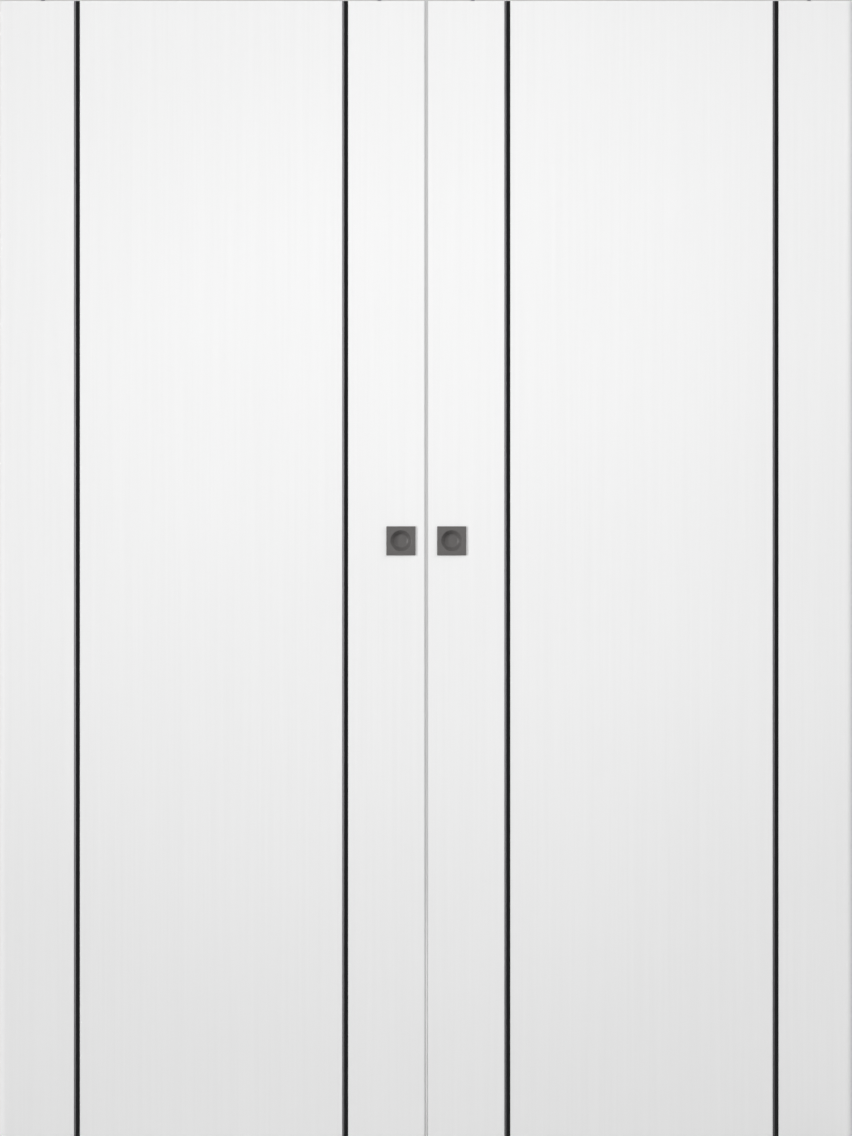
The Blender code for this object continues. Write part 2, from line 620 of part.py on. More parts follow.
def make_track(track, materials):
    """The box section, bored along its roof for the screws that hold it up."""
    ceiling = TRACK_HEIGHT - TRACK_WALL
    outline = [
        (-TRACK_OUTER_HALF, 0),
        (-SLOT_HALF, 0),
        (-SLOT_HALF, TRACK_LIP),
        (-TRACK_INNER_HALF, TRACK_LIP),
        (-TRACK_INNER_HALF, ceiling),
        (TRACK_INNER_HALF, ceiling),
        (TRACK_INNER_HALF, TRACK_LIP),
        (SLOT_HALF, TRACK_LIP),
        (SLOT_HALF, 0),
        (TRACK_OUTER_HALF, 0),
        (TRACK_OUTER_HALF, TRACK_HEIGHT),
        (-TRACK_OUTER_HALF, TRACK_HEIGHT),
    ]
    mesh = prism("head track", outline, "X", -TRACK_HALF_LENGTH, TRACK_HALF_LENGTH)
    rail = add_solid("head_track", mesh, materials["anodised aluminium"], track)
    count = int(TRACK_HALF_LENGTH / TRACK_SCREW_SPACING)
    places = [TRACK_SCREW_SPACING * step for step in range(-count, count + 1)]
    low, high = ceiling - CUT_MARGIN, TRACK_HEIGHT + CUT_MARGIN
    mesh = rods("track screws", "Z", [(low, high, x, 0) for x in places], TRACK_SCREW_RADIUS)
    combine(rail, add_helper("track_screw_holes", mesh, track), "DIFFERENCE")


def make_end_cap(label, side, track, materials):
    """A plate over the track's end, with a plug that fits inside it."""
    near = TRACK_HALF_LENGTH + GLUE_LINE
    face = rectangle(-TRACK_OUTER_HALF, TRACK_OUTER_HALF, 0, TRACK_HEIGHT)
    limits = span(side, near, near + END_CAP_THICKNESS)
    cap = add_solid(f"{label}_end_cap", prism("cap", face, "X", *limits), materials["black nylon"], track)
    width = TRACK_INNER_HALF - GLUE_LINE
    inside = rectangle(-width, width, TRACK_LIP + GLUE_LINE, TRACK_HEIGHT - TRACK_WALL - GLUE_LINE)
    limits = span(side, near - END_CAP_PLUG, near + UNION_OVERLAP)
    combine(cap, add_helper(f"{label}_cap_plug", prism("plug", inside, "X", *limits), track), "UNION")


def make_stop(name, middle, half_length, track, materials):
    """A block on the track's lips, with a neck through the slot and a foot that clamps below."""
    body_low = TRACK_LIP + STOP_CLEARANCE
    body = TRACK_INNER_HALF - STOP_CLEARANCE
    neck = SLOT_HALF - STOP_CLEARANCE
    foot = SLOT_HALF + STOP_FOOT_REACH
    foot_top = -STOP_CLEARANCE
    right = [
        (foot, foot_top - STOP_FOOT_HEIGHT),
        (foot, foot_top),
        (neck, foot_top),
        (neck, body_low),
        (body, body_low),
        (body, body_low + STOP_HEIGHT),
    ]
    outline = right + [(-y, z) for y, z in reversed(right)]
    mesh = prism("stop", outline, "X", -half_length, half_length)
    add_solid(name, mesh, materials["black nylon"], track, (middle, 0, 0))


def make_floor_guide(label, side, materials):
    """A base screwed to the floor, with a chamfered fin that runs in the leaf's channel."""
    place = (side * GUIDE_POSITION, 0, 0)
    length, width = GUIDE_BASE_LENGTH / 2, GUIDE_BASE_WIDTH / 2
    mesh = prism("guide", rectangle(-length, length, -width, width), "Z", 0, GUIDE_BASE_THICKNESS)
    guide = add_solid(f"{label}_floor_guide", mesh, materials["black nylon"], None, place)
    end, top = FIN_LENGTH / 2, FLOOR_GAP + FIN_ENGAGEMENT
    root = GUIDE_BASE_THICKNESS - UNION_OVERLAP
    fin = [
        (-end, root),
        (end, root),
        (end, top - FIN_CHAMFER),
        (end - FIN_CHAMFER, top),
        (FIN_CHAMFER - end, top),
        (-end, top - FIN_CHAMFER),
    ]
    mesh = prism("fin", fin, "Y", -FIN_HALF, FIN_HALF)
    combine(guide, add_helper(f"{label}_guide_fin", mesh, None, place), "UNION")
    low, high = -CUT_MARGIN, GUIDE_BASE_THICKNESS + CUT_MARGIN
    holes = [(low, high, x, 0) for x in (-GUIDE_SCREW_OFFSET, GUIDE_SCREW_OFFSET)]
    mesh = rods("guide screws", "Z", holes, GUIDE_SCREW_RADIUS)
    combine(guide, add_helper(f"{label}_guide_screws", mesh, None, place), "DIFFERENCE")


def main():
    for old in list(bpy.data.objects):
        bpy.data.objects.remove(old, do_unlink=True)
    materials = make_materials()
    track = add_empty("track", (0, 0, TRACK_BASE))
    make_track(track, materials)
    make_stop("centre_stop", 0, CENTRE_STOP_HALF, track, materials)
    for label, side in SIDES.items():
        make_end_cap(label, side, track, materials)
        make_stop(f"{label}_outer_stop", side * OUTER_STOP_MIDDLE, STOP_LENGTH / 2, track, materials)
        make_floor_guide(label, side, materials)
        make_leaf(label, side, materials)


main()
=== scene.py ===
import json
import math

import bmesh
import bpy
import numpy as np
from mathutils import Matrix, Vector


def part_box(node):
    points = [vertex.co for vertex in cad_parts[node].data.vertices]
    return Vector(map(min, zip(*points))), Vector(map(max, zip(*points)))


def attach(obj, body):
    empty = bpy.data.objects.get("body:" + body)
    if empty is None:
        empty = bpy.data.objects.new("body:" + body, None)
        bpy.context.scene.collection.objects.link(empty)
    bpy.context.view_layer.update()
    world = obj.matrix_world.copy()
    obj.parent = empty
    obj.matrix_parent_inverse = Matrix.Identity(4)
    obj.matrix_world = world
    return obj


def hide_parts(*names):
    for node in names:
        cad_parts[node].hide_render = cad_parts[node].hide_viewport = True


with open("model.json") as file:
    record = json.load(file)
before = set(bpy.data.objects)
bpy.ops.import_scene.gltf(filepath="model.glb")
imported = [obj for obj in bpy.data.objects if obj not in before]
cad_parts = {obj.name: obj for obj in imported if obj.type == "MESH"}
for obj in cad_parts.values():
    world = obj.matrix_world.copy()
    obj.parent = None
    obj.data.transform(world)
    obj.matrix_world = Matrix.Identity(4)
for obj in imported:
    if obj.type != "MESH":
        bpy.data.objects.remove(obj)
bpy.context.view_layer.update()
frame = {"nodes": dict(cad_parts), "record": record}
nodes = frame["nodes"]
slotOf = {row["node"]: row["material_slot"] for row in frame["record"]["subparts"]}
sides = {"left": -1, "right": 1}  # the sign of x of each leaf
faces = {"front": -1, "back": 1}  # the sign of y on each face of a leaf
ends = ("inner", "outer")  # the inner end is the one beside the seam
print("frame loaded:", len(nodes), "CAD nodes")


# Colours and nodes

def hexToLinear(code):
    # sRGB hex to linear: the lowest part is straight, the rest a power of 2.4
    share = np.array([int(code[i:i + 2], 16) for i in (1, 3, 5)]) / 255
    linear = np.where(share <= 0.04045, share / 12.92, ((share + 0.055) / 1.055) ** 2.4)
    return (*linear.tolist(), 1.0)


def perMetre(*millimetres):
    # how often a pattern of this size repeats in a metre, on each axis
    return tuple(1000 / size for size in millimetres)


def addNode(tree, kind, inputs=None, **settings):
    # sockets go by name or number; 6 and 7 are the two colours of a Mix node
    node = tree.nodes.new(kind)
    for key, value in settings.items():
        setattr(node, key, value)
    for socket, value in (inputs or {}).items():
        if isinstance(value, bpy.types.NodeSocket):
            tree.links.new(value, node.inputs[socket])
        else:
            node.inputs[socket].default_value = value
    return node


def startMaterial(name, **fixed):
    # a Principled material, its own coordinates, and the values that are the same all over it
    material = bpy.data.materials.new(name)
    material.use_nodes = True
    tree = material.node_tree
    shader = tree.nodes["Principled BSDF"]
    for socket, value in fixed.items():
        shader.inputs[socket.replace("_", " ")].default_value = value
    coords = addNode(tree, "ShaderNodeTexCoord").outputs["Object"]
    return material, tree, shader, coords


def endMaterial(tree, shader, colour, height, bump):
    # the colour, and a bump that follows a height, by its strength and its depth in metres
    strength, depth = bump
    bump = addNode(tree, "ShaderNodeBump", {"Height": height, "Strength": strength, "Distance": depth})
    tree.links.new(colour, shader.inputs["Base Color"])
    tree.links.new(bump.outputs[0], shader.inputs["Normal"])


# Materials

laminateLook = {
    "light": "#F2F2F2",
    "shade": "#EDEDED",
    "streakMm": (4.5, 4.5, 420),  # the real streaks are under 1 mm wide, too fine to show
    "poreMm": (1.6, 1.6, 38),  # real pores are 0.2 mm wide
    "cloudMm": 700,
    "boardLight": "#B79A74",
    "boardDark": "#94774F",
    "fibreMm": 1.2,
    "sawnFrom": 0.9,  # a face that looks up or down by more than this was sawn
    "innerFrom": 0.009,  # in metres from the leaf's middle, for faces that look back towards it
    "roughness": (0.62, 0.74),
    "bump": (0.12, 0.0002),  # strength, and depth in metres
}


def makeLaminate():
    # White laminate pressed on fibreboard with a wood-grained plate: an even matt white with faint upright
    # streaks. The sheet is bare brown fibreboard inside, and at head and foot, where the saw cut it.
    look = laminateLook
    material, tree, shader, coords = startMaterial("white laminate pressed on fibreboard", IOR=1.5,
                                                   Specular_IOR_Level=0.2)
    place = addNode(tree, "ShaderNodeMapping", {"Vector": coords, "Scale": perMetre(*look["streakMm"])})
    streak = addNode(tree, "ShaderNodeTexNoise",
                     {"Vector": place.outputs[0], "Scale": 1.0, "Detail": 4.0, "Roughness": 0.6})
    place = addNode(tree, "ShaderNodeMapping", {"Vector": coords, "Scale": perMetre(*look["poreMm"])})
    pore = addNode(tree, "ShaderNodeTexNoise",
                   {"Vector": place.outputs[0], "Scale": 1.0, "Detail": 2.0, "Roughness": 0.5})
    cloud = addNode(tree, "ShaderNodeTexNoise",
                    {"Vector": coords, "Scale": perMetre(look["cloudMm"])[0], "Detail": 1.0})
    tone = addNode(tree, "ShaderNodeMath", {0: streak.outputs[0], 1: cloud.outputs[0]}, operation="ADD")
    tone = addNode(tree, "ShaderNodeMapRange", {"Value": tone.outputs[0], "From Min": 0.6, "From Max": 1.4})
    white = addNode(tree, "ShaderNodeMix", {0: tone.outputs[0], 6: hexToLinear(look["shade"]),
                                            7: hexToLinear(look["light"])}, data_type="RGBA")
    fibre = addNode(tree, "ShaderNodeTexNoise",
                    {"Vector": coords, "Scale": perMetre(look["fibreMm"])[0], "Detail": 3.0})
    board = addNode(tree, "ShaderNodeMix", {0: fibre.outputs[0], 6: hexToLinear(look["boardDark"]),
                                            7: hexToLinear(look["boardLight"])}, data_type="RGBA")
    facing = addNode(tree, "ShaderNodeNewGeometry")
    facing = addNode(tree, "ShaderNodeSeparateXYZ", {0: facing.outputs["Normal"]})
    level = addNode(tree, "ShaderNodeMath", {0: facing.outputs["Z"]}, operation="ABSOLUTE")
    sawn = addNode(tree, "ShaderNodeMath", {0: level.outputs[0], 1: look["sawnFrom"]},
                   operation="GREATER_THAN")
    place = addNode(tree, "ShaderNodeSeparateXYZ", {0: coords})
    inside = addNode(tree, "ShaderNodeMath", {0: facing.outputs["Y"], 1: place.outputs["Y"]},
                     operation="MULTIPLY")
    inside = addNode(tree, "ShaderNodeMath", {0: inside.outputs[0], 1: -look["innerFrom"]},
                     operation="LESS_THAN")
    bare = addNode(tree, "ShaderNodeMath", {0: sawn.outputs[0], 1: inside.outputs[0]}, operation="MAXIMUM")
    colour = addNode(tree, "ShaderNodeMix", {0: bare.outputs[0], 6: white.outputs[2],
                                             7: board.outputs[2]}, data_type="RGBA")
    low, high = look["roughness"]
    gloss = addNode(tree, "ShaderNodeMapRange", {"Value": pore.outputs[0], "To Min": low, "To Max": high})
    tree.links.new(gloss.outputs[0], shader.inputs["Roughness"])
    endMaterial(tree, shader, colour.outputs[2], pore.outputs[0], look["bump"])
    return material


# One recipe does the finishes that are a fine grain stretched along the piece: two tones, a range of
# roughness and a shallow bump. Sizes are in mm along X, Y and Z.
grainDepth = 0.0002  # of every bump among them, in metres
grainLooks = {
    "white_abs": dict(
        # ABS edging, extruded and buffed: a little glossier than the face, with faint lengthwise lines
        name="white ABS edging, extruded", dark="#EDEDEC", light="#F0F0EF",
        grainMm=(2.0, 2.0, 160), roughness=(0.36, 0.46), bump=0.06, fixed=dict(IOR=1.54)),
    "black_aluminium": dict(
        # aluminium extruded and anodised black: satin, with hairlines from the die along its length
        name="black anodised aluminium, extruded", dark="#282829", light="#2C2C2D",
        grainMm=(0.9, 0.9, 220), roughness=(0.32, 0.34), bump=0.02, fixed=dict(Metallic=1.0)),
    "grey_seal": dict(
        # soft rubbery seal, extruded: dull grey with a dusty bloom
        name="grey soft seal, extruded", dark="#BDBDBD", light="#C3C3C3",
        grainMm=(1.5, 1.5, 60), roughness=(0.72, 0.80), bump=0.05, fixed=dict(IOR=1.5)),
    "graphite_zinc": dict(
        # die-cast zinc under a graphite lacquer with fine flake: satin, with a grain of about 0.3 mm,
        # drawn at 0.7 mm so that it shows
        name="graphite lacquer on die-cast zinc", dark="#575554", light="#646261",
        grainMm=(0.7, 0.7, 0.7), roughness=(0.34, 0.46), bump=0.07, fixed=dict(IOR=1.5)),
    "anodised_aluminium": dict(
        # aluminium extruded, etched matt and anodised clear: dull grey sheen with die lines along X
        name="clear anodised aluminium, extruded", dark="#A2A4A6", light="#AFB1B3",
        grainMm=(260, 0.8, 0.8), roughness=(0.54, 0.61), bump=0.05, fixed=dict(Metallic=1.0)),
    "zinc_plated_steel": dict(
        # pressed steel with bright zinc plating: cool grey in slightly cloudy patches
        name="zinc plated steel, pressed", dark="#A3A8AD", light="#C9CBCC",
        grainMm=(5, 5, 5), roughness=(0.26, 0.44), bump=0.05, fixed=dict(Metallic=1.0)),
    "black_nylon": dict(
        # nylon moulded in a spark-eroded mould: dull near-black with a pebbled skin, drawn at 0.8 mm
        name="black nylon, moulded", dark="#1B1B1C", light="#27272A",
        grainMm=(0.8, 0.8, 0.8), roughness=(0.45, 0.6), bump=0.16, fixed=dict(IOR=1.53)),
    "white_nylon": dict(
        # nylon turned from bar: off-white, slightly waxy, with fine rings along the axle
        name="white nylon, turned", dark="#E2E1DA", light="#EDECE6",
        grainMm=(9, 0.5, 9), roughness=(0.36, 0.48), bump=0.06, fixed=dict(IOR=1.53)),
}


def makeGrained(look):
    # colour, roughness and bump all follow one noise, stretched from its usual range to between 0 and 1
    material, tree, shader, coords = startMaterial(look["name"], **look["fixed"])
    place = addNode(tree, "ShaderNodeMapping", {"Vector": coords, "Scale": perMetre(*look["grainMm"])})
    grain = addNode(tree, "ShaderNodeTexNoise",
                    {"Vector": place.outputs[0], "Scale": 1.0, "Detail": 3.0, "Roughness": 0.55})
    tone = addNode(tree, "ShaderNodeMapRange", {"Value": grain.outputs[0], "From Min": 0.3, "From Max": 0.7})
    low, high = look["roughness"]
    gloss = addNode(tree, "ShaderNodeMapRange", {"Value": tone.outputs[0], "To Min": low, "To Max": high})
    colour = addNode(tree, "ShaderNodeMix", {0: tone.outputs[0], 6: hexToLinear(look["dark"]),
                                             7: hexToLinear(look["light"])}, data_type="RGBA")
    tree.links.new(gloss.outputs[0], shader.inputs["Roughness"])
    endMaterial(tree, shader, colour.outputs[2], grain.outputs[0], (look["bump"], grainDepth))
    return material


pineLook = {"early": "#DDBB86", "late": "#BC8B53", "ringMm": 5.5, "fibreMm": 0.9, "lengthMm": 320,
            "fibreShare": 0.2, "roughness": 0.62, "bump": (0.2, 0.0003)}


def makePine(name, along):
    # Planed pine: straight yellow grain, dark late wood in lines a few mm apart along the board
    look = pineLook
    material, tree, shader, coords = startMaterial(name, IOR=1.5, Roughness=look["roughness"])
    ring = [look["ringMm"]] * 3
    fibre = [look["fibreMm"]] * 3
    ring[along] = look["lengthMm"]
    fibre[along] = look["lengthMm"] * look["fibreShare"]
    place = addNode(tree, "ShaderNodeMapping", {"Vector": coords, "Scale": perMetre(*ring)})
    rings = addNode(tree, "ShaderNodeTexNoise",
                    {"Vector": place.outputs[0], "Scale": 1.0, "Detail": 2.0, "Distortion": 0.4})
    place = addNode(tree, "ShaderNodeMapping", {"Vector": coords, "Scale": perMetre(*fibre)})
    fibres = addNode(tree, "ShaderNodeTexNoise", {"Vector": place.outputs[0], "Scale": 1.0, "Detail": 3.0})
    line = addNode(tree, "ShaderNodeMapRange", {"Value": rings.outputs[0], "From Min": 0.42, "From Max": 0.6},
                   interpolation_type="SMOOTHSTEP")
    tone = addNode(tree, "ShaderNodeMath", {0: line.outputs[0], 1: fibres.outputs[0]}, operation="MULTIPLY")
    colour = addNode(tree, "ShaderNodeMix", {0: tone.outputs[0], 6: hexToLinear(look["early"]),
                                             7: hexToLinear(look["late"])}, data_type="RGBA")
    endMaterial(tree, shader, colour.outputs[2], fibres.outputs[0], look["bump"])
    return material


chipLook = {"pale": "#CBA873", "brown": "#9A7546", "chipMm": (6, 2.2, 6), "dustMm": 1.0,
            "roughness": 0.75, "bump": (0.3, 0.0003)}


def makeChipboard():
    # Sanded chipboard: flat chips of a few mm in several browns, with fine dust between them
    look = chipLook
    material, tree, shader, coords = startMaterial("chipboard, sanded", IOR=1.5,
                                                   Roughness=look["roughness"])
    place = addNode(tree, "ShaderNodeMapping", {"Vector": coords, "Scale": perMetre(*look["chipMm"])})
    chips = addNode(tree, "ShaderNodeTexVoronoi", {"Vector": place.outputs[0], "Scale": 1.0})
    dust = addNode(tree, "ShaderNodeTexNoise",
                   {"Vector": coords, "Scale": perMetre(look["dustMm"])[0], "Detail": 2.0})
    chip = addNode(tree, "ShaderNodeSeparateColor", {0: chips.outputs["Color"]})
    tone = addNode(tree, "ShaderNodeMath", {0: chip.outputs[0], 1: dust.outputs[0]}, operation="MULTIPLY")
    colour = addNode(tree, "ShaderNodeMix", {0: tone.outputs[0], 6: hexToLinear(look["pale"]),
                                             7: hexToLinear(look["brown"])}, data_type="RGBA")
    endMaterial(tree, shader, colour.outputs[2], dust.outputs[0], look["bump"])
    return material


finishes = {slot: makeGrained(look) for slot, look in grainLooks.items()}
finishes["white_laminate"] = makeLaminate()
finishes["chipboard"] = makeChipboard()
finishes["pine"] = makePine("pine rail, planed", 0)
pineUpright = makePine("pine stile, planed", 2)
for name, node in nodes.items():
    node.data.materials.clear()
    node.data.materials.append(pineUpright if name.endswith("stile") else finishes[slotOf[name]])
print("materials made:", len(finishes) + 1)


# Surfaces

sharpCorner = 0.0001  # rounding of a corner that looks sharp
drillPast = 0.002  # how far a drill runs beyond the material


def across(axis, along, first, second):
    # puts the distance along an axis and the two coordinates across it into X, Y, Z order
    along = np.broadcast_to(along, first.shape)
    order = {"X": (along, first, second), "Y": (first, along, second), "Z": (first, second, along)}
    return np.stack(order[axis], axis=-1)


def smoothMesh(mesh, angleDeg=40):
    mesh.shade_smooth()
    mesh.set_sharp_from_angle(angle=math.radians(angleDeg))


def gridPiece(name, grid, ring=False):
    # rows of points, each row closed on itself; a ring closes last row to first, else both ends are capped
    rows, count = grid.shape[:2]
    i = np.arange(rows if ring else rows - 1)[:, None]
    j = np.arange(count)[None, :]
    nextI, nextJ = (i + 1) % rows, (j + 1) % count
    quads = np.stack([i * count + j, i * count + nextJ, nextI * count + nextJ, nextI * count + j], axis=-1)
    polygons = quads.reshape(-1, 4).tolist()
    if not ring:
        polygons += [list(range(count))[::-1], list(range((rows - 1) * count, rows * count))]
    mesh = bpy.data.meshes.new(name)
    mesh.from_pydata(grid.reshape(-1, 3).tolist(), [], polygons)
    work = bmesh.new()
    work.from_mesh(mesh)
    bmesh.ops.remove_doubles(work, verts=work.verts, dist=1e-6)  # closes the poles
    bmesh.ops.recalc_face_normals(work, faces=work.faces)
    work.to_mesh(mesh)
    work.free()
    smoothMesh(mesh)
    piece = bpy.data.objects.new(name, mesh)
    bpy.context.scene.collection.objects.link(piece)
    return piece


def roundedOutline(corners, radii, steps=5, pastShare=0.25, spareShare=0.4):
    # each corner of a closed outline becomes an arc that touches both of its sides, with one more point on
    # each side just past the arc, so that the flats stay flat in the shading
    corners = np.asarray(corners, float)
    radii = np.broadcast_to(np.asarray(radii, float), len(corners))[:, None]
    before = np.roll(corners, 1, axis=0) - corners
    after = np.roll(corners, -1, axis=0) - corners
    before /= np.linalg.norm(before, axis=1, keepdims=True)
    after /= np.linalg.norm(after, axis=1, keepdims=True)
    half = np.arccos(np.clip((before * after).sum(axis=1, keepdims=True), -1, 1)) / 2
    reach = radii / np.tan(half)
    middle = before + after
    middle /= np.linalg.norm(middle, axis=1, keepdims=True)
    centre = corners + middle * radii / np.sin(half)
    first = corners + before * reach - centre
    last = corners + after * reach - centre
    turn = np.arctan2(first[:, 0] * last[:, 1] - first[:, 1] * last[:, 0], (first * last).sum(axis=1))
    turn = turn[:, None] * np.linspace(0, 1, steps + 1)
    x = centre[:, :1] + first[:, :1] * np.cos(turn) - first[:, 1:] * np.sin(turn)
    y = centre[:, 1:] + first[:, :1] * np.sin(turn) + first[:, 1:] * np.cos(turn)
    arcs = np.stack([x, y], axis=-1)
    spare = np.linalg.norm(np.roll(corners, -1, axis=0) - corners, axis=1, keepdims=True)
    spare = spare - reach - np.roll(reach, -1, axis=0)  # what the arcs leave of each side
    pastFirst = np.minimum(reach * pastShare, np.roll(spare, 1, axis=0) * spareShare)
    pastLast = np.minimum(reach * pastShare, spare * spareShare)
    entry = corners + before * (reach + pastFirst)
    leave = corners + after * (reach + pastLast)
    return np.concatenate([entry[:, None], arcs, leave[:, None]], axis=1).reshape(-1, 2)


def rectangle(left, right, bottom, top):
    return [(left, bottom), (right, bottom), (right, top), (left, top)]


def mirrored(points, middle=0):
    # the other half of a symmetric outline, in running order
    return [(2 * middle - x, z) for x, z in reversed(points)]


def inset(outline, amount):
    # every point moves inwards, square to the line between its two neighbours
    ahead = np.roll(outline, -1, axis=0) - np.roll(outline, 1, axis=0)
    nextPoint = np.roll(outline, -1, axis=0)
    area = (outline[:, 0] * nextPoint[:, 1] - outline[:, 1] * nextPoint[:, 0]).sum()
    inwards = np.stack([-ahead[:, 1], ahead[:, 0]], axis=1) * np.sign(area)
    return outline + amount * inwards / np.linalg.norm(inwards, axis=1, keepdims=True)


def carried(name, outline, axis, start, end, chamfers=(0, 0)):
    # an outline carried along one axis, drawn in by the chamfer at each end
    low, high = sorted((start, end))
    stations = [(low + chamfers[0], 0), (high - chamfers[1], 0)]
    if chamfers[0]:
        stations.insert(0, (low, chamfers[0]))
    if chamfers[1]:
        stations.append((high, chamfers[1]))
    outlines = [inset(outline, amount) for _, amount in stations]
    rows = [across(axis, along, ring[:, 0], ring[:, 1]) for (along, _), ring in zip(stations, outlines)]
    return gridPiece(name, np.stack(rows))


def outlineRadius(shape, size, angle, corner=0.0012, flankDeg=15):
    # How far an outline is from its middle at each angle. size is the radius, half the width across the
    # flats, or the length of a cross's arm; flankDeg is half of what the end of an arm takes of the turn.
    if shape == "round":
        return np.broadcast_to(size, angle.shape)
    if shape == "hexagon":
        return size / np.cos((angle + math.pi / 6) % (math.pi / 3) - math.pi / 6)
    # folded is 0 at the middle of a flat or arm, and 45 degrees half way to the next
    folded = np.abs((angle + math.pi / 4) % (math.pi / 2) - math.pi / 4)
    if shape == "cross":
        flank = size * math.tan(math.radians(flankDeg)) / np.maximum(np.sin(folded), 1e-6)
        return np.minimum(size / np.cos(folded), flank)
    straight = size - corner  # a square whose corner arc is centred here on both axes
    total = np.cos(folded) + np.sin(folded)
    arc = straight * total + np.sqrt(np.maximum((straight * total) ** 2 - 2 * straight ** 2 + corner ** 2, 0))
    return np.where(size * np.tan(folded) <= straight, size / np.cos(folded), arc)


def around(name, rows, axis, centre, angles=72, ring=False, flip=1):
    # a surface around an axis: each row is an outline (shape, size) at its height along the axis; a flip
    # of -1 turns it end for end
    angle = np.linspace(0, 2 * math.pi, angles, endpoint=False) if np.isscalar(angles) else angles
    shapes, sizes, heights = zip(*rows)
    radius = np.stack([outlineRadius(shape, size, angle) for shape, size in zip(shapes, sizes)])
    height = flip * np.array(heights)[:, None] * np.ones_like(radius)
    grid = across(axis, height, radius * np.cos(angle), radius * np.sin(angle))
    return gridPiece(name, grid + np.array(centre), ring)


def arcRows(shape, centreSize, centreHeight, radius, fromDeg, toDeg, steps=6):
    # rows along an arc in the plane of size and height
    turn = np.radians(np.linspace(fromDeg, toDeg, steps + 1))
    sizes = centreSize + radius * np.cos(turn)
    heights = centreHeight + radius * np.sin(turn)
    return [(shape, size, height) for size, height in zip(sizes, heights)]


def booleanWith(piece, tool, operation):
    # applies one Boolean and removes the tool
    step = piece.modifiers.new(operation.lower(), "BOOLEAN")
    step.object = tool
    step.operation = operation
    step.solver = "EXACT"
    mesh = bpy.data.meshes.new_from_object(piece.evaluated_get(bpy.context.evaluated_depsgraph_get()))
    piece.modifiers.clear()
    piece.data = mesh
    smoothMesh(mesh)
    bpy.data.objects.remove(tool)


def bore(piece, axis, centre, radius, start, end, steps=48):
    rows = [("round", radius, start), ("round", radius, end)]
    booleanWith(piece, around("bore", rows, axis, centre, steps), "DIFFERENCE")


def settle(piece, body, slot, *replaced):
    piece.data.materials.clear()
    piece.data.materials.append(finishes[slot])
    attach(piece, body)
    if replaced:
        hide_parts(*replaced)


# Leaf faces: one sheet a side, grooved for its two strips and rounded off at the leaf's outer edge

edgeRadius = 0.014  # of the rounding that the sheets start and the edging ends
skinShape = {"edgeArris": 0.0005, "lipArris": 0.0003, "grooveDepth": 0.003, "stripClearance": 0.0003,
             "boreRadius": 0.0210, "endTiltDeg": 54}


def leafSkin(side, face):
    # The section across the sheet, carried up the leaf. u runs out from the meeting edge; the outer end leans
    # over on an arc that touches the face and ends in a short slope.
    shape = skinShape
    node = f"{side}_{face}_skin"
    low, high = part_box(node)
    sign = sides[side]
    outer, inner = (low.y, high.y) if face == "front" else (high.y, low.y)
    floor = outer - faces[face] * shape["grooveDepth"]
    inEnd, outEnd = sorted((sign * low.x, sign * high.x))
    corners = [(inEnd, outer)]
    radii = [shape["edgeArris"]]
    for which in ends:
        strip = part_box(f"{side}_{face}_{which}_strip")
        near, far = sorted(sign * corner.x for corner in strip)
        near, far = near - shape["stripClearance"], far + shape["stripClearance"]
        corners += [(near, outer), (near, floor), (far, floor), (far, outer)]
        radii += [shape["lipArris"], sharpCorner, sharpCorner, shape["lipArris"]]
    tilt = math.radians(shape["endTiltDeg"])
    leafEdge = max(sign * corner.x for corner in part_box(f"{side}_outer_edge_band"))
    bend = leafEdge - edgeRadius + edgeRadius * math.tan(tilt / 2)
    corners += [(bend, outer), (outEnd, outer - faces[face] * (outEnd - bend) * math.tan(tilt))]
    corners += [(outEnd, inner), (inEnd, inner)]
    radii += [edgeRadius, sharpCorner, sharpCorner, sharpCorner]
    outline = roundedOutline([(sign * u, y) for u, y in corners], radii, steps=8)
    piece = carried(f"{side}_{face}_face", outline, "Z", low.z, high.z)
    pullLow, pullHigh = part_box(f"{side}_{face}_pull")
    middle = (pullLow + pullHigh) / 2
    bore(piece, "Y", (middle.x, 0, middle.z), shape["boreRadius"],
         low.y - drillPast, high.y + drillPast)
    settle(piece, f"{side}_leaf", "white_laminate", node)


for side in sides:
    for face in faces:
        leafSkin(side, face)
print("leaf faces made")


# Black strips

stripShape = {"rise": 0.0015, "slope": 0.0032, "rounding": 0.0005, "footArris": 0.0002}


def blackStrip(side, face, which):
    # the section of a bar with a flat top and two sloping shoulders, carried up the leaf
    shape = stripShape
    node = f"{side}_{face}_{which}_strip"
    low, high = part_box(node)
    top, foot = (low.y, high.y) if face == "front" else (high.y, low.y)
    shoulder = top - faces[face] * shape["rise"]
    slope = shape["slope"]
    corners = [(low.x, foot), (low.x, shoulder), (low.x + slope, top), (high.x - slope, top),
               (high.x, shoulder), (high.x, foot)]
    radii = [shape["footArris"], shape["rounding"] / 2, shape["rounding"]]
    outline = roundedOutline(corners, radii + radii[::-1])
    piece = carried(f"{side}_{face}_{which}_black_strip", outline, "Z", low.z, high.z)
    settle(piece, f"{side}_leaf", "black_aluminium", node)


for side in sides:
    for face in faces:
        for which in ends:
            blackStrip(side, face, which)
print("black strips made")


# Finger pulls

pullShape = {
    "plateThickness": 0.003,
    "plateRounding": 0.0008,
    "dishRadius": 0.0195,
    "dishDepth": 0.010,
    "rimRounding": 0.0012,
    "floorRounding": 0.004,
    "slopeDeg": 55,
    "cupRadius": 0.0207,
    "cupWall": 0.0012,
    "cupRounding": 0.0006,
    "floorRings": (0, 0.5, 0.97),  # shares of the flat floor's radius
    "flatMargin": 0.0004,  # from a rounding to the next row on the flat
    "sideMargin": 0.0003,
    "steps": 144,
    "cornerSpanDeg": 2.2,
    "cornerSteps": 12,
}


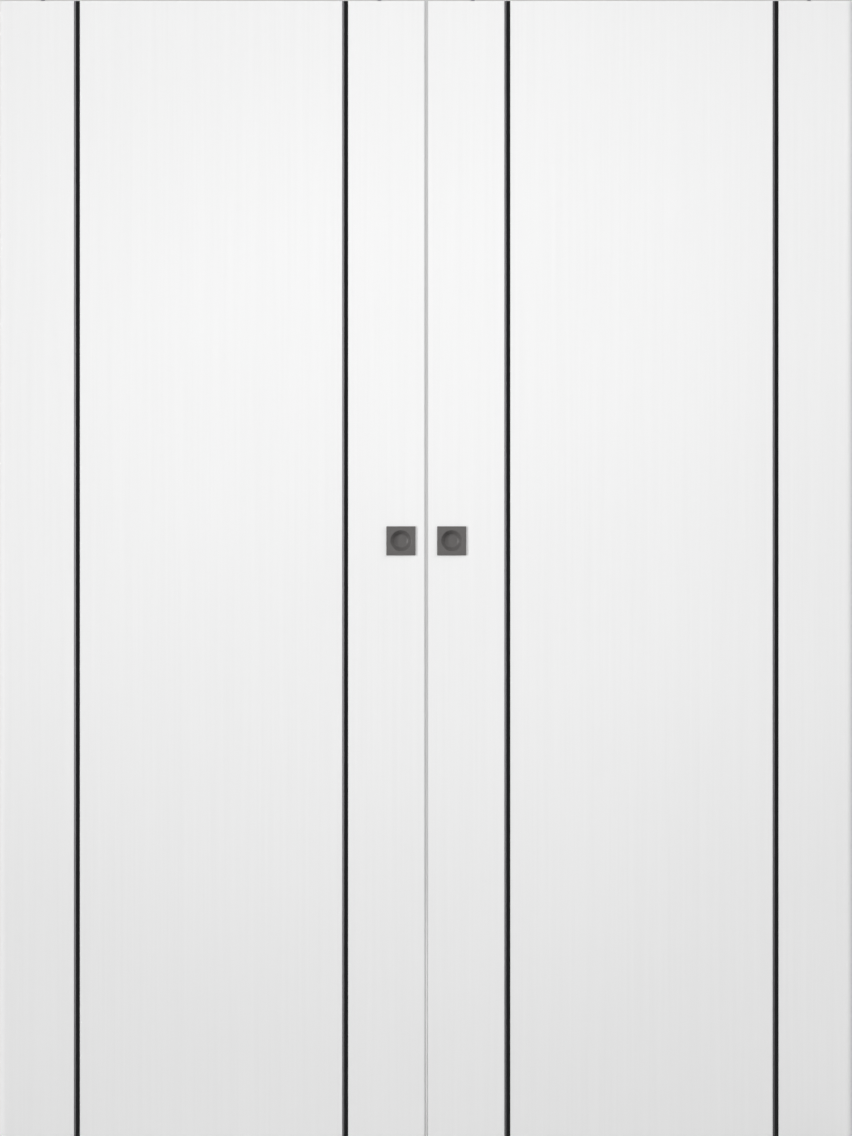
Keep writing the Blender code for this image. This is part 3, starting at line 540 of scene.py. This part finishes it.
def fingerPull(side, face):
    # Rows from the middle of the dish outwards: flat floor, hollow arc, straight slope, rim arc, then the
    # plate as a rounded square, over its edge, along its back and down the round cup to the middle again.
    shape = pullShape
    node = f"{side}_{face}_pull"
    low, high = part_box(node)
    half = (high.x - low.x) / 2
    top = max(abs(low.y), abs(high.y))
    slope = math.radians(shape["slopeDeg"])
    rim, hollow, soft = shape["rimRounding"], shape["floorRounding"], shape["plateRounding"]
    floor = top - shape["dishDepth"]
    floorEdge = shape["dishRadius"] - rim * math.tan(slope / 2) - shape["dishDepth"] / math.tan(slope)
    floorFlat = floorEdge - hollow * math.tan(slope / 2)
    back = top - shape["plateThickness"]
    cup = shape["cupRadius"]
    cupBack = floor - shape["cupWall"]
    rows = [("round", floorFlat * share, floor) for share in shape["floorRings"]]
    rows += arcRows("round", floorFlat, floor + hollow, hollow, -90, shape["slopeDeg"] - 90, steps=10)
    rows += arcRows("round", shape["dishRadius"], top - rim, rim, 90 + shape["slopeDeg"], 90, steps=8)
    margin, turned = shape["flatMargin"], shape["cupRounding"]
    rows += [("round", shape["dishRadius"] + margin, top), ("square", half - soft - margin, top)]
    rows += arcRows("square", half - soft, top - soft, soft, 90, 0)
    rows += [("square", half, top - soft - shape["sideMargin"]), ("square", half, back + sharpCorner)]
    rows += [("square", half - sharpCorner, back), ("round", cup, back)]
    rows += [("round", cup, cupBack + turned), ("round", cup - turned, cupBack), ("round", 0, cupBack)]
    even = np.linspace(0, 2 * math.pi, shape["steps"], endpoint=False)
    span = np.radians(np.linspace(-shape["cornerSpanDeg"], shape["cornerSpanDeg"], shape["cornerSteps"]))
    corners = (np.arange(4)[:, None] + 0.5) * math.pi / 2 + span  # close together at the corners
    angles = np.unique(np.round(np.concatenate([even, corners.ravel()]), 6))
    place = ((low.x + high.x) / 2, 0, (low.z + high.z) / 2)
    piece = around(f"{side}_{face}_finger_pull", rows, "Y", place, angles, flip=faces[face])
    settle(piece, f"{side}_leaf", "graphite_zinc", node)


for side in sides:
    for face in faces:
        fingerPull(side, face)
print("finger pulls made")


# Seal and edging on the upright edges of a leaf

edgeShape = {"sealCrown": 0.0006, "sealArris": 0.0007, "sealFoot": 0.0002, "bandRadius": 0.0135}


def meetingSeal(side):
    # a flat strip with rounded corners, crowned by an arc towards the other leaf
    node = f"{side}_meeting_seal"
    low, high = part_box(node)
    nose, foot = (high.x, low.x) if side == "left" else (low.x, high.x)
    shoulder = nose + sides[side] * edgeShape["sealCrown"]
    corners = rectangle(foot, shoulder, low.y, high.y)
    ease, arris = edgeShape["sealFoot"], edgeShape["sealArris"]
    outline = roundedOutline(corners, [ease, arris, arris, ease])
    rise = np.cos(outline[:, 1] / high.y * math.pi / 2) ** 2  # the crown, highest half way across
    towards = np.abs(outline[:, 0] - foot) / abs(shoulder - foot)
    outline[:, 0] -= sides[side] * edgeShape["sealCrown"] * rise * towards
    piece = carried(f"{side}_soft_seal", outline, "Z", low.z, high.z)
    settle(piece, f"{side}_leaf", "grey_seal", node)


def edgeBand(side):
    # a flat strip with a blunt nose, whose two arcs carry on the rounding of the sheets
    node = f"{side}_outer_edge_band"
    low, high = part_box(node)
    near, far = (high.x, low.x) if side == "left" else (low.x, high.x)
    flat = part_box(f"{side}_back_skin")[1].y - edgeRadius
    turn = math.acos(1 - abs(far - near) / edgeRadius)
    foot = flat + edgeRadius * math.sin(turn)
    nose = flat + edgeRadius * math.tan(turn / 2)
    corners = [(near, -foot), (far, -nose), (far, nose), (near, foot)]
    arcs = edgeShape["bandRadius"]
    outline = roundedOutline(corners, [sharpCorner, arcs, arcs, sharpCorner], steps=8)
    piece = carried(f"{side}_edging", outline, "Z", low.z, high.z)
    settle(piece, f"{side}_leaf", "white_abs", node)


for side in sides:
    meetingSeal(side)
    edgeBand(side)
print("seals and edging made")


# Screws, nuts and threads

screwShape = {"headRadius": 0.0042, "headHeight": 0.0024, "domeShare": 0.75, "crossArm": 0.0024,
              "crossDepth": 0.0014, "crossTaper": 0.8, "crossRim": 1.1, "shank": 0.0019}


def panScrew(name, body, place, up, shankEnd):
    # a domed head with a cross sunk in it, on a plain shank; up is +1 where the head is above the shank
    shape = screwShape
    head, height = shape["headRadius"], shape["headHeight"]
    arm, sunk = shape["crossArm"], shape["crossDepth"]
    dome = height * shape["domeShare"]
    rows = [("round", 0, height - sunk), ("cross", arm * shape["crossTaper"], height - sunk)]
    rows += [("cross", arm, height), ("round", arm * shape["crossRim"], height)]
    rows += arcRows("round", head - dome, height - dome, dome, 90, 0)
    rows += [("round", head, 0), ("round", shape["shank"], 0), ("round", shape["shank"], -shankEnd)]
    rows += [("round", 0, -shankEnd)]
    piece = around(name, rows, "Z", place, flip=up)
    settle(piece, body, "zinc_plated_steel")


boltShape = {"radius": 0.004, "pitch": 0.00125, "threadDepth": 0.0006, "headHalfFlats": 0.0065,
             "headHeight": 0.0053, "headChamfer": 0.0009, "faceShare": 0.97, "tipLength": 0.0008,
             "tipDraw": 0.0009, "nutHeight": 0.0042, "nutChamfer": 0.0008, "nutGap": 0.0003,
             "steps": 48, "pitchSteps": 6}


def hangerBolt(side, which):
    # A hexagon head, then a shank whose radius dips in a triangle wave along a helix:
    # the wave's phase is the height over the pitch less the angle over a full turn.
    shape = boltShape
    node = f"{side}_{which}_hanger_bolt"
    low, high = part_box(node)
    headTop = low.z + shape["headHeight"]
    angle = np.linspace(0, 2 * math.pi, shape["steps"], endpoint=False)
    flats = shape["headHalfFlats"]
    flatFace = flats * shape["faceShare"]
    rows = [("round", 0, low.z), ("round", flatFace, low.z), ("hexagon", flats, low.z + shape["headChamfer"])]
    rows += [("hexagon", flats, headTop), ("round", shape["radius"], headTop)]
    headRadius = np.stack([outlineRadius(form, size, angle) for form, size, _ in rows])
    headHeight = np.array([along for _, _, along in rows])
    step = shape["pitch"] / shape["pitchSteps"]
    shankHeight = np.arange(headTop + step, high.z - shape["tipLength"], step)
    phase = (shankHeight[:, None] / shape["pitch"] - angle / (2 * math.pi)) % 1
    shankRadius = shape["radius"] - shape["threadDepth"] * np.abs(2 * phase - 1)
    tip = np.full((2, len(angle)), shape["radius"] - shape["tipDraw"])
    tip[1] = 0
    radius = np.concatenate([headRadius, shankRadius, tip])
    height = np.concatenate([headHeight, shankHeight, [high.z, high.z]])[:, None]
    middle = ((low.x + high.x) / 2, (low.y + high.y) / 2, 0)
    grid = across("Z", height * np.ones_like(radius), radius * np.cos(angle), radius * np.sin(angle))
    piece = gridPiece(f"{side}_{which}_bolt", grid + np.array(middle))
    settle(piece, f"{side}_leaf", "zinc_plated_steel", node)

    # thin lock nut, run up against the trolley: a hexagon ring with its corners chamfered off
    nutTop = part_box(f"{side}_{which}_trolley")[0].z - shape["nutGap"]
    nutLow = nutTop - shape["nutHeight"]
    cut, hole = shape["nutChamfer"], shape["radius"]
    rows = [("round", hole, nutLow), ("round", flatFace, nutLow), ("hexagon", flats, nutLow + cut),
            ("hexagon", flats, nutTop - cut), ("round", flatFace, nutTop), ("round", hole, nutTop)]
    nut = around(f"{side}_{which}_lock_nut", rows, "Z", middle, ring=True)
    settle(nut, f"{side}_leaf", "zinc_plated_steel")


# Hanger plates

hangerShape = {"thickness": 0.003, "insideBend": 0.001, "underBend": 0.0024, "outsideBend": 0.0034,
               "endRounding": 0.0012, "edge": 0.0003, "flange": 0.022, "boltHole": 0.0043,
               "screwHole": 0.00225}


def hangerPlate(side, which):
    # the hat-shaped section of a bent strip, carried across the leaf and drilled
    shape = hangerShape
    node = f"{side}_{which}_hanger_plate"
    low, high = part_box(node)
    middle = (low.x + high.x) / 2
    end = (high.x - low.x) / 2
    wall = end - shape["flange"]
    sheet = shape["thickness"]
    clear = wall - sheet
    corners = [(clear, high.z - sheet), (clear, low.z), (end, low.z), (end, low.z + sheet),
               (wall, low.z + sheet), (wall, high.z)]
    radii = [shape["insideBend"], shape["underBend"], shape["endRounding"], shape["endRounding"],
             shape["insideBend"], shape["outsideBend"]]
    corners = [(middle + x, z) for x, z in corners + mirrored(corners)]
    outline = roundedOutline(corners, radii + radii[::-1])
    piece = carried(f"{side}_{which}_hanger", outline, "Y", low.y, high.y, (shape["edge"], shape["edge"]))
    bore(piece, "Z", (middle, 0, 0), shape["boltHole"], high.z - sheet - drillPast, high.z + drillPast)
    for sign in (-1, 1):
        place = middle + sign * (wall + shape["flange"] / 2)
        bore(piece, "Z", (place, 0, 0), shape["screwHole"], low.z - drillPast, low.z + sheet + drillPast)
        label = "near" if sign * sides[side] < 0 else "far"
        panScrew(f"{side}_{which}_hanger_{label}_screw", f"{side}_leaf", (place, 0, low.z + sheet), 1, sheet)
    settle(piece, f"{side}_leaf", "zinc_plated_steel", node)


for side in sides:
    for which in ends:
        hangerBolt(side, which)
        hangerPlate(side, which)
print("hangers, bolts, nuts and screws made")


# Trolleys

trolleyShape = {"barHalf": 0.0062, "neckHalf": 0.0143, "endRounding": 0.0045, "neckRounding": 0.0025,
                "fillet": 0.0018, "edge": 0.0006, "axleOffset": 0.018, "axleHole": 0.0027, "boltHole": 0.0043,
                "boltGap": 0.0003}


def trolleyBody(side, which):
    # the outline of a bar with a neck below it, seen from the front, carried through its thickness and
    # drilled for two axles and the bolt
    shape = trolleyShape
    node = f"{side}_{which}_trolley"
    low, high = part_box(node)
    middle = (low.x + high.x) / 2
    axle = high.z - shape["barHalf"]
    barLow = axle - shape["barHalf"]
    right = [(middle + shape["neckHalf"], low.z), (middle + shape["neckHalf"], barLow), (high.x, barLow),
             (high.x, high.z)]
    radii = [shape["neckRounding"], shape["fillet"], shape["endRounding"], shape["endRounding"]]
    outline = roundedOutline(right + mirrored(right, middle), radii + radii[::-1])
    piece = carried(f"{node}_body", outline, "Y", low.y, high.y, (shape["edge"], shape["edge"]))
    for sign in (-1, 1):
        place = (middle + sign * shape["axleOffset"], 0, axle)
        bore(piece, "Y", place, shape["axleHole"], low.y - drillPast, high.y + drillPast)
    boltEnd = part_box(f"{side}_{which}_hanger_bolt")[1].z + shape["boltGap"]
    bore(piece, "Z", (middle, 0, 0), shape["boltHole"], low.z - drillPast, boltEnd)
    settle(piece, f"{side}_leaf", "zinc_plated_steel", node)


for side in sides:
    for which in ends:
        trolleyBody(side, which)
print("trolleys made")


# Wheels

wheelShape = {"axle": 0.0025, "axleEdge": 0.0004, "bearing": 0.0058, "hub": 0.004, "hubStart": 0.00665,
              "inside": 0.00805, "outside": 0.01605, "shieldSunk": 0.0006, "collar": 0.0004,
              "tyreEdge": 0.0012, "tyreFit": 0.00005}


def wheelSet(side, which, end):
    # the axle with its two bearings is one turned profile; each tyre is a ring with rounded shoulders
    shape = wheelShape
    node = f"{side}_{which}_trolley_{end}_wheels"
    body = f"{side}_{which}_{end}_wheels"
    low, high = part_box(node)
    centre = ((low.x + high.x) / 2, 0, (low.z + high.z) / 2)
    radius = (high.x - low.x) / 2
    tip = high.y
    near, far = shape["inside"] + shape["shieldSunk"], shape["outside"] - shape["shieldSunk"]
    axle, hub, bearing, edge = shape["axle"], shape["hub"], shape["bearing"], shape["axleEdge"]
    collar = far + shape["collar"]
    half = [(axle, shape["hubStart"]), (hub, shape["hubStart"]), (hub, near), (bearing, near), (bearing, far),
            (hub, far), (hub, collar), (axle, collar), (axle, tip - edge), (axle - edge, tip), (0, tip)]
    profile = [(size, -along) for size, along in reversed(half)] + half
    piece = around(f"{node}_axle", [("round", size, along) for size, along in profile], "Y", centre)
    settle(piece, body, "zinc_plated_steel", node)
    soft = shape["tyreEdge"]
    inner = bearing + shape["tyreFit"]
    rows = [("round", inner, shape["inside"])]
    rows += arcRows("round", radius - soft, shape["inside"] + soft, soft, -90, 0, steps=5)
    rows += arcRows("round", radius - soft, shape["outside"] - soft, soft, 0, 90, steps=5)
    rows += [("round", inner, shape["outside"])]
    for label, sign in faces.items():
        tyre = around(f"{node}_{label}_tyre", rows, "Y", centre, ring=True, flip=sign)
        settle(tyre, body, "white_nylon")


for side in sides:
    for which in ends:
        for end in ("inboard", "outboard"):
            wheelSet(side, which, end)
print("wheels made")


# Head track with its caps, stops and screws

trackShape = {"wall": 0.0025, "lip": 0.003, "slotHalf": 0.00725, "outerRounding": 0.0012,
              "innerRounding": 0.0006, "lipRounding": 0.0009, "screwSpacing": 0.4, "screwHole": 0.0025}
capShape = {"faceRounding": 0.0012, "faceSteps": 5, "cornerRounding": 0.0016, "fit": 0.0003, "plate": 0.003,
            "plateArris": 0.0002, "plugDraw": 0.0008, "plugTaper": 0.0012}
stopShape = {"rounding": 0.0006, "blockEdge": 0.0004, "neckHalf": 0.00695, "bodyGap": 0.0036,
             "footHeight": 0.003, "footReach": 0.006, "buffer": 0.004, "bufferMargin": 0.0015,
             "bufferRounding": 0.003, "bufferEdge": 0.001, "clampRadius": 0.0025, "clampSocket": 0.00125,
             "clampSunk": 0.0016, "clampHeight": 0.0028, "clampEdge": 0.0004, "clampProud": 0.0002,
             "clampShare": 0.5}


def headTrack():
    # the section of a box with a slot along its floor, carried along the whole track and drilled in its roof
    shape = trackShape
    low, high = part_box("head_track")
    wide, narrow = high.y, high.y - shape["wall"]
    slot, lip, roof = shape["slotHalf"], low.z + shape["lip"], high.z - shape["wall"]
    right = [(slot, low.z), (wide, low.z), (wide, high.z)]
    inside = [(narrow, roof), (narrow, lip), (slot, lip)]
    corners = right + mirrored(right) + mirrored(inside) + inside
    outer, inner, edge = shape["outerRounding"], shape["innerRounding"], shape["lipRounding"]
    radii = [edge, outer, outer, outer, outer, edge, edge, inner, inner, inner, inner, edge]
    piece = carried("head_track_section", roundedOutline(corners, radii), "X", low.x, high.x)
    count = int(high.x / shape["screwSpacing"])
    for step in range(-count, count + 1):
        place = step * shape["screwSpacing"]
        bore(piece, "Z", (place, 0, 0), shape["screwHole"], roof - drillPast, high.z + drillPast)
        panScrew(f"track_screw_{step + count + 1}", "track_frame", (place, 0, roof), -1, shape["wall"])
    settle(piece, "track_frame", "anodised_aluminium", "head_track")


def endCap(side):
    # rounded rectangles stacked along the track: the plug inside it, then the plate over its end
    shape = capShape
    low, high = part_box(f"{side}_end_cap")
    trackLow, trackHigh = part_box("head_track")
    sign = sides[side]
    tip, plugEnd = (low.x, high.x) if side == "left" else (high.x, low.x)
    seat = tip - sign * shape["plate"]
    gap = trackShape["wall"] + shape["fit"]
    floor = trackLow.z + trackShape["lip"] + shape["fit"]

    def block(x, reach, bottom, top, rounding, draw):
        corners = rectangle(draw - reach, reach - draw, bottom + draw, top - draw)
        ring = roundedOutline(corners, rounding)
        return across("X", x, ring[:, 0], ring[:, 1])

    wide = trackHigh.y
    plug = (wide - gap, floor, trackHigh.z - gap, shape["cornerRounding"])
    plate = (wide, trackLow.z, trackHigh.z, shape["cornerRounding"])
    soft, arris, taper = shape["faceRounding"], shape["plateArris"], shape["plugTaper"]
    rings = [block(plugEnd, *plug, shape["plugDraw"]), block(plugEnd + sign * taper, *plug, 0)]
    rings += [block(seat, *plug, 0), block(seat, *plate, arris), block(seat + sign * arris, *plate, 0)]
    for turn in np.radians(np.linspace(0, 90, shape["faceSteps"] + 1)):
        rings.append(block(tip - sign * soft * (1 - np.sin(turn)), *plate, soft * (1 - np.cos(turn))))
    piece = gridPiece(f"{side}_track_cap", np.stack(rings))
    settle(piece, "track_frame", "black_nylon", f"{side}_end_cap")


def trackStop(node, bufferEnds):
    # the section of a block on the lips, a neck in the slot and a foot below, with a soft pad where a
    # trolley meets it
    shape = stopShape
    low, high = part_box(node)
    footTop = low.z + shape["footHeight"]
    bodyLow = footTop + shape["bodyGap"]
    foot = trackShape["slotHalf"] + shape["footReach"]
    right = [(foot, low.z), (foot, footTop), (shape["neckHalf"], footTop), (shape["neckHalf"], bodyLow),
             (high.y, bodyLow), (high.y, high.z)]
    outline = roundedOutline(right + mirrored(right), shape["rounding"])
    start, end = low.x, high.x
    if "low" in bufferEnds:
        start += shape["buffer"]
    if "high" in bufferEnds:
        end -= shape["buffer"]
    piece = carried(f"{node}_block", outline, "X", start, end, (shape["blockEdge"], shape["blockEdge"]))
    settle(piece, "track_frame", "black_nylon", node)
    margin = shape["bufferMargin"]
    corners = rectangle(margin - high.y, high.y - margin, bodyLow + margin, high.z - margin)
    pad = roundedOutline(corners, shape["bufferRounding"], steps=8)
    for label, near, far in (("low", low.x, start), ("high", end, high.x)):
        if label in bufferEnds:
            edge = shape["bufferEdge"]
            cut = (edge, sharpCorner) if label == "low" else (sharpCorner, edge)
            buffer = carried(f"{node}_{label}_buffer", pad, "X", near, far, cut)
            settle(buffer, "track_frame", "grey_seal")
    # clamp screws in the foot: a cone-edged disc with a hexagon socket
    radius, socket, sunk = shape["clampRadius"], shape["clampSocket"], shape["clampSunk"]
    cone, height, share = shape["clampEdge"], shape["clampHeight"], shape["clampShare"]
    rows = [("round", 0, sunk), ("hexagon", socket, sunk), ("hexagon", socket, 0),
            ("round", radius - cone, 0), ("round", radius, cone), ("round", radius, height),
            ("round", 0, height)]
    spots = [(low.x + high.x) / 2] if len(bufferEnds) == 1 else [low.x * share, high.x * share]
    for number, x in enumerate(spots, 1):
        screw = around(f"{node}_clamp_screw_{number}", rows, "Z", (x, 0, low.z - shape["clampProud"]))
        settle(screw, "track_frame", "zinc_plated_steel")


headTrack()
for side in sides:
    endCap(side)
trackStop("centre_stop", ("low", "high"))
trackStop("left_outer_stop", ("high",))
trackStop("right_outer_stop", ("low",))
print("track, caps and stops made")


# Floor guides

guideShape = {"base": 0.003, "cornerRadius": 0.006, "edge": 0.0007, "finLength": 0.026, "finHalf": 0.0043,
              "finRounding": 0.0026, "finChamfer": 0.0016, "finRoot": 0.001, "screwOffset": 0.0215,
              "screwHole": 0.00225}


def floorGuide(side):
    # a plate with rounded corners carried up to its thickness, joined to a fin that starts inside it
    shape = guideShape
    node = f"{side}_floor_guide"
    low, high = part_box(node)
    middle = (low.x + high.x) / 2
    base = low.z + shape["base"]
    corners = rectangle(low.x, high.x, low.y, high.y)
    outline = roundedOutline(corners, shape["cornerRadius"], steps=10)
    piece = carried(f"{side}_guide_shoe", outline, "Z", low.z, base, (0, shape["edge"]))
    end, half = shape["finLength"] / 2, shape["finHalf"]
    corners = rectangle(middle - end, middle + end, -half, half)
    fin = roundedOutline(corners, shape["finRounding"], steps=8)
    fin = carried("fin", fin, "Z", base - shape["finRoot"], high.z, (0, shape["finChamfer"]))
    booleanWith(piece, fin, "UNION")
    for label, sign in sides.items():
        place = middle + sign * shape["screwOffset"]
        bore(piece, "Z", (place, 0, 0), shape["screwHole"], low.z - drillPast, base + drillPast)
        panScrew(f"{node}_{label}_screw", "track_frame", (place, 0, base), 1, shape["base"])
    settle(piece, "track_frame", "black_nylon", node)


for side in sides:
    floorGuide(side)
print("floor guides made")


# Floor, light and camera

studio = {"floorHex": "#A8A8A8", "floorSeenHex": ("#EBEBEB", "#F0F0F0"), "floorSize": 240.0,
          "floorZ": -0.0004, "patchMm": 300, "fade": (2.0, 10.0), "backdropHex": "#C8C8C8", "ambient": 0.165}
# direction is the azimuth from straight in front, positive to the right, and the elevation
lamps = {
    "key": dict(direction=(-53, 1.5), distance=18.0, aimZ=1.05, size=(3.0, 3.0), watts=1850.0, inGloss=True),
    "fill": dict(direction=(60, 36), distance=14.0, aimZ=1.05, size=(12.0, 7.0), watts=770.0, inGloss=True),
    "front": dict(direction=(0, 0), distance=2.0, aimZ=1.55, size=(1.2, 0.9), watts=15.5, inGloss=False),
    "back": dict(direction=(160, 30), distance=14.0, aimZ=1.05, size=(6.0, 6.0), watts=1300.0, inGloss=True),
}


def seenRays(tree):
    # 1 for rays from the camera, from shiny faces and through glass, 0 for those that only carry light
    path = addNode(tree, "ShaderNodeLightPath").outputs
    rays = addNode(tree, "ShaderNodeMath", {0: path["Is Camera Ray"], 1: path["Is Glossy Ray"]},
                   operation="MAXIMUM")
    rays = addNode(tree, "ShaderNodeMath", {0: rays.outputs[0], 1: path["Is Transmission Ray"]},
                   operation="MAXIMUM")
    return rays.outputs[0]


def makeFloor():
    # Pale matt floor in very faint patches. Away from the doors, what is seen of it fades into the
    # backdrop's grey, on a smooth step of the distance.
    half, level = studio["floorSize"] / 2, studio["floorZ"]
    mesh = bpy.data.meshes.new("floor")
    corners = [(x, y, level) for x, y in rectangle(-half, half, -half, half)]
    mesh.from_pydata(corners, [], [(0, 1, 2, 3)])
    floor = bpy.data.objects.new("floor", mesh)
    bpy.context.scene.collection.objects.link(floor)
    material, tree, shader, coords = startMaterial("pale matt floor", Roughness=0.9, Specular_IOR_Level=0.0)
    patch = addNode(tree, "ShaderNodeTexNoise",
                    {"Vector": coords, "Scale": perMetre(studio["patchMm"])[0], "Detail": 3.0})
    dark, light = studio["floorSeenHex"]
    seen = addNode(tree, "ShaderNodeMix", {0: patch.outputs[0], 6: hexToLinear(dark),
                                           7: hexToLinear(light)}, data_type="RGBA")
    rays = seenRays(tree)
    colour = addNode(tree, "ShaderNodeMix", {0: rays, 6: hexToLinear(studio["floorHex"]),
                                             7: seen.outputs[2]}, data_type="RGBA")
    tree.links.new(colour.outputs[2], shader.inputs["Base Color"])
    away = addNode(tree, "ShaderNodeVectorMath", {0: coords}, operation="LENGTH")
    near, far = studio["fade"]
    fade = addNode(tree, "ShaderNodeMapRange",
                   {"Value": away.outputs["Value"], "From Min": near, "From Max": far},
                   interpolation_type="SMOOTHSTEP")
    fade = addNode(tree, "ShaderNodeMath", {0: fade.outputs[0], 1: rays}, operation="MULTIPLY")
    plain = addNode(tree, "ShaderNodeEmission",
                    {"Color": hexToLinear(studio["backdropHex"]), "Strength": 1.0})
    mixed = addNode(tree, "ShaderNodeMixShader",
                    {0: fade.outputs[0], 1: shader.outputs[0], 2: plain.outputs[0]})
    tree.links.new(mixed.outputs[0], tree.nodes["Material Output"].inputs["Surface"])
    material.cycles.emission_sampling = "NONE"  # it is only seen, and lights nothing
    mesh.materials.append(material)


def makeWorld():
    # soft light from all round; the camera, mirrors and glass see a plain pale grey instead
    world = bpy.data.worlds.new("studio")
    bpy.context.scene.world = world
    world.use_nodes = True
    tree = world.node_tree
    tree.nodes.clear()
    light = addNode(tree, "ShaderNodeBackground", {"Color": (1, 1, 1, 1), "Strength": studio["ambient"]})
    seen = addNode(tree, "ShaderNodeBackground",
                   {"Color": hexToLinear(studio["backdropHex"]), "Strength": 1.0})
    mixed = addNode(tree, "ShaderNodeMixShader",
                    {0: seenRays(tree), 1: light.outputs[0], 2: seen.outputs[0]})
    addNode(tree, "ShaderNodeOutputWorld", {"Surface": mixed.outputs[0]})


def softBox(name, look):
    # a rectangular lamp aimed at the doors; it lights them but isn't seen itself
    azimuth, elevation = np.radians(look["direction"])
    direction = Vector((math.sin(azimuth) * math.cos(elevation), -math.cos(azimuth) * math.cos(elevation),
                        math.sin(elevation)))
    lamp = bpy.data.lights.new(name, "AREA")
    lamp.shape = "RECTANGLE"
    lamp.size, lamp.size_y = look["size"]
    lamp.energy = look["watts"]
    box = bpy.data.objects.new(name, lamp)
    box.location = Vector((0, 0, look["aimZ"])) + direction * look["distance"]
    box.rotation_euler = direction.to_track_quat("Z", "Y").to_euler()
    box.visible_camera = False
    box.visible_glossy = look["inGloss"]
    bpy.context.scene.collection.objects.link(box)


view = {"lens": 200.0, "sensor": 36.0, "frameHeight": 2.0286, "middle": (-0.0005, 1.0275), "faceY": -0.020,
        "clipEnd": 500}


def makeCamera():
    # a long lens, square on to the faces, so far off that the picture takes in frameHeight at the front faces
    camera = bpy.data.cameras.new("camera")
    camera.lens = view["lens"]
    camera.sensor_width = view["sensor"]
    camera.clip_end = view["clipEnd"]
    place = bpy.data.objects.new("camera", camera)
    distance = view["frameHeight"] * view["lens"] / view["sensor"]
    place.location = (view["middle"][0], view["faceY"] - distance, view["middle"][1])
    place.rotation_euler = (math.pi / 2, 0, 0)
    bpy.context.scene.collection.objects.link(place)
    bpy.context.scene.camera = place


makeFloor()
makeWorld()
for name, look in lamps.items():
    softBox(name, look)
makeCamera()
bpy.context.scene.view_settings.view_transform = "Standard"
print("floor, light and camera set")
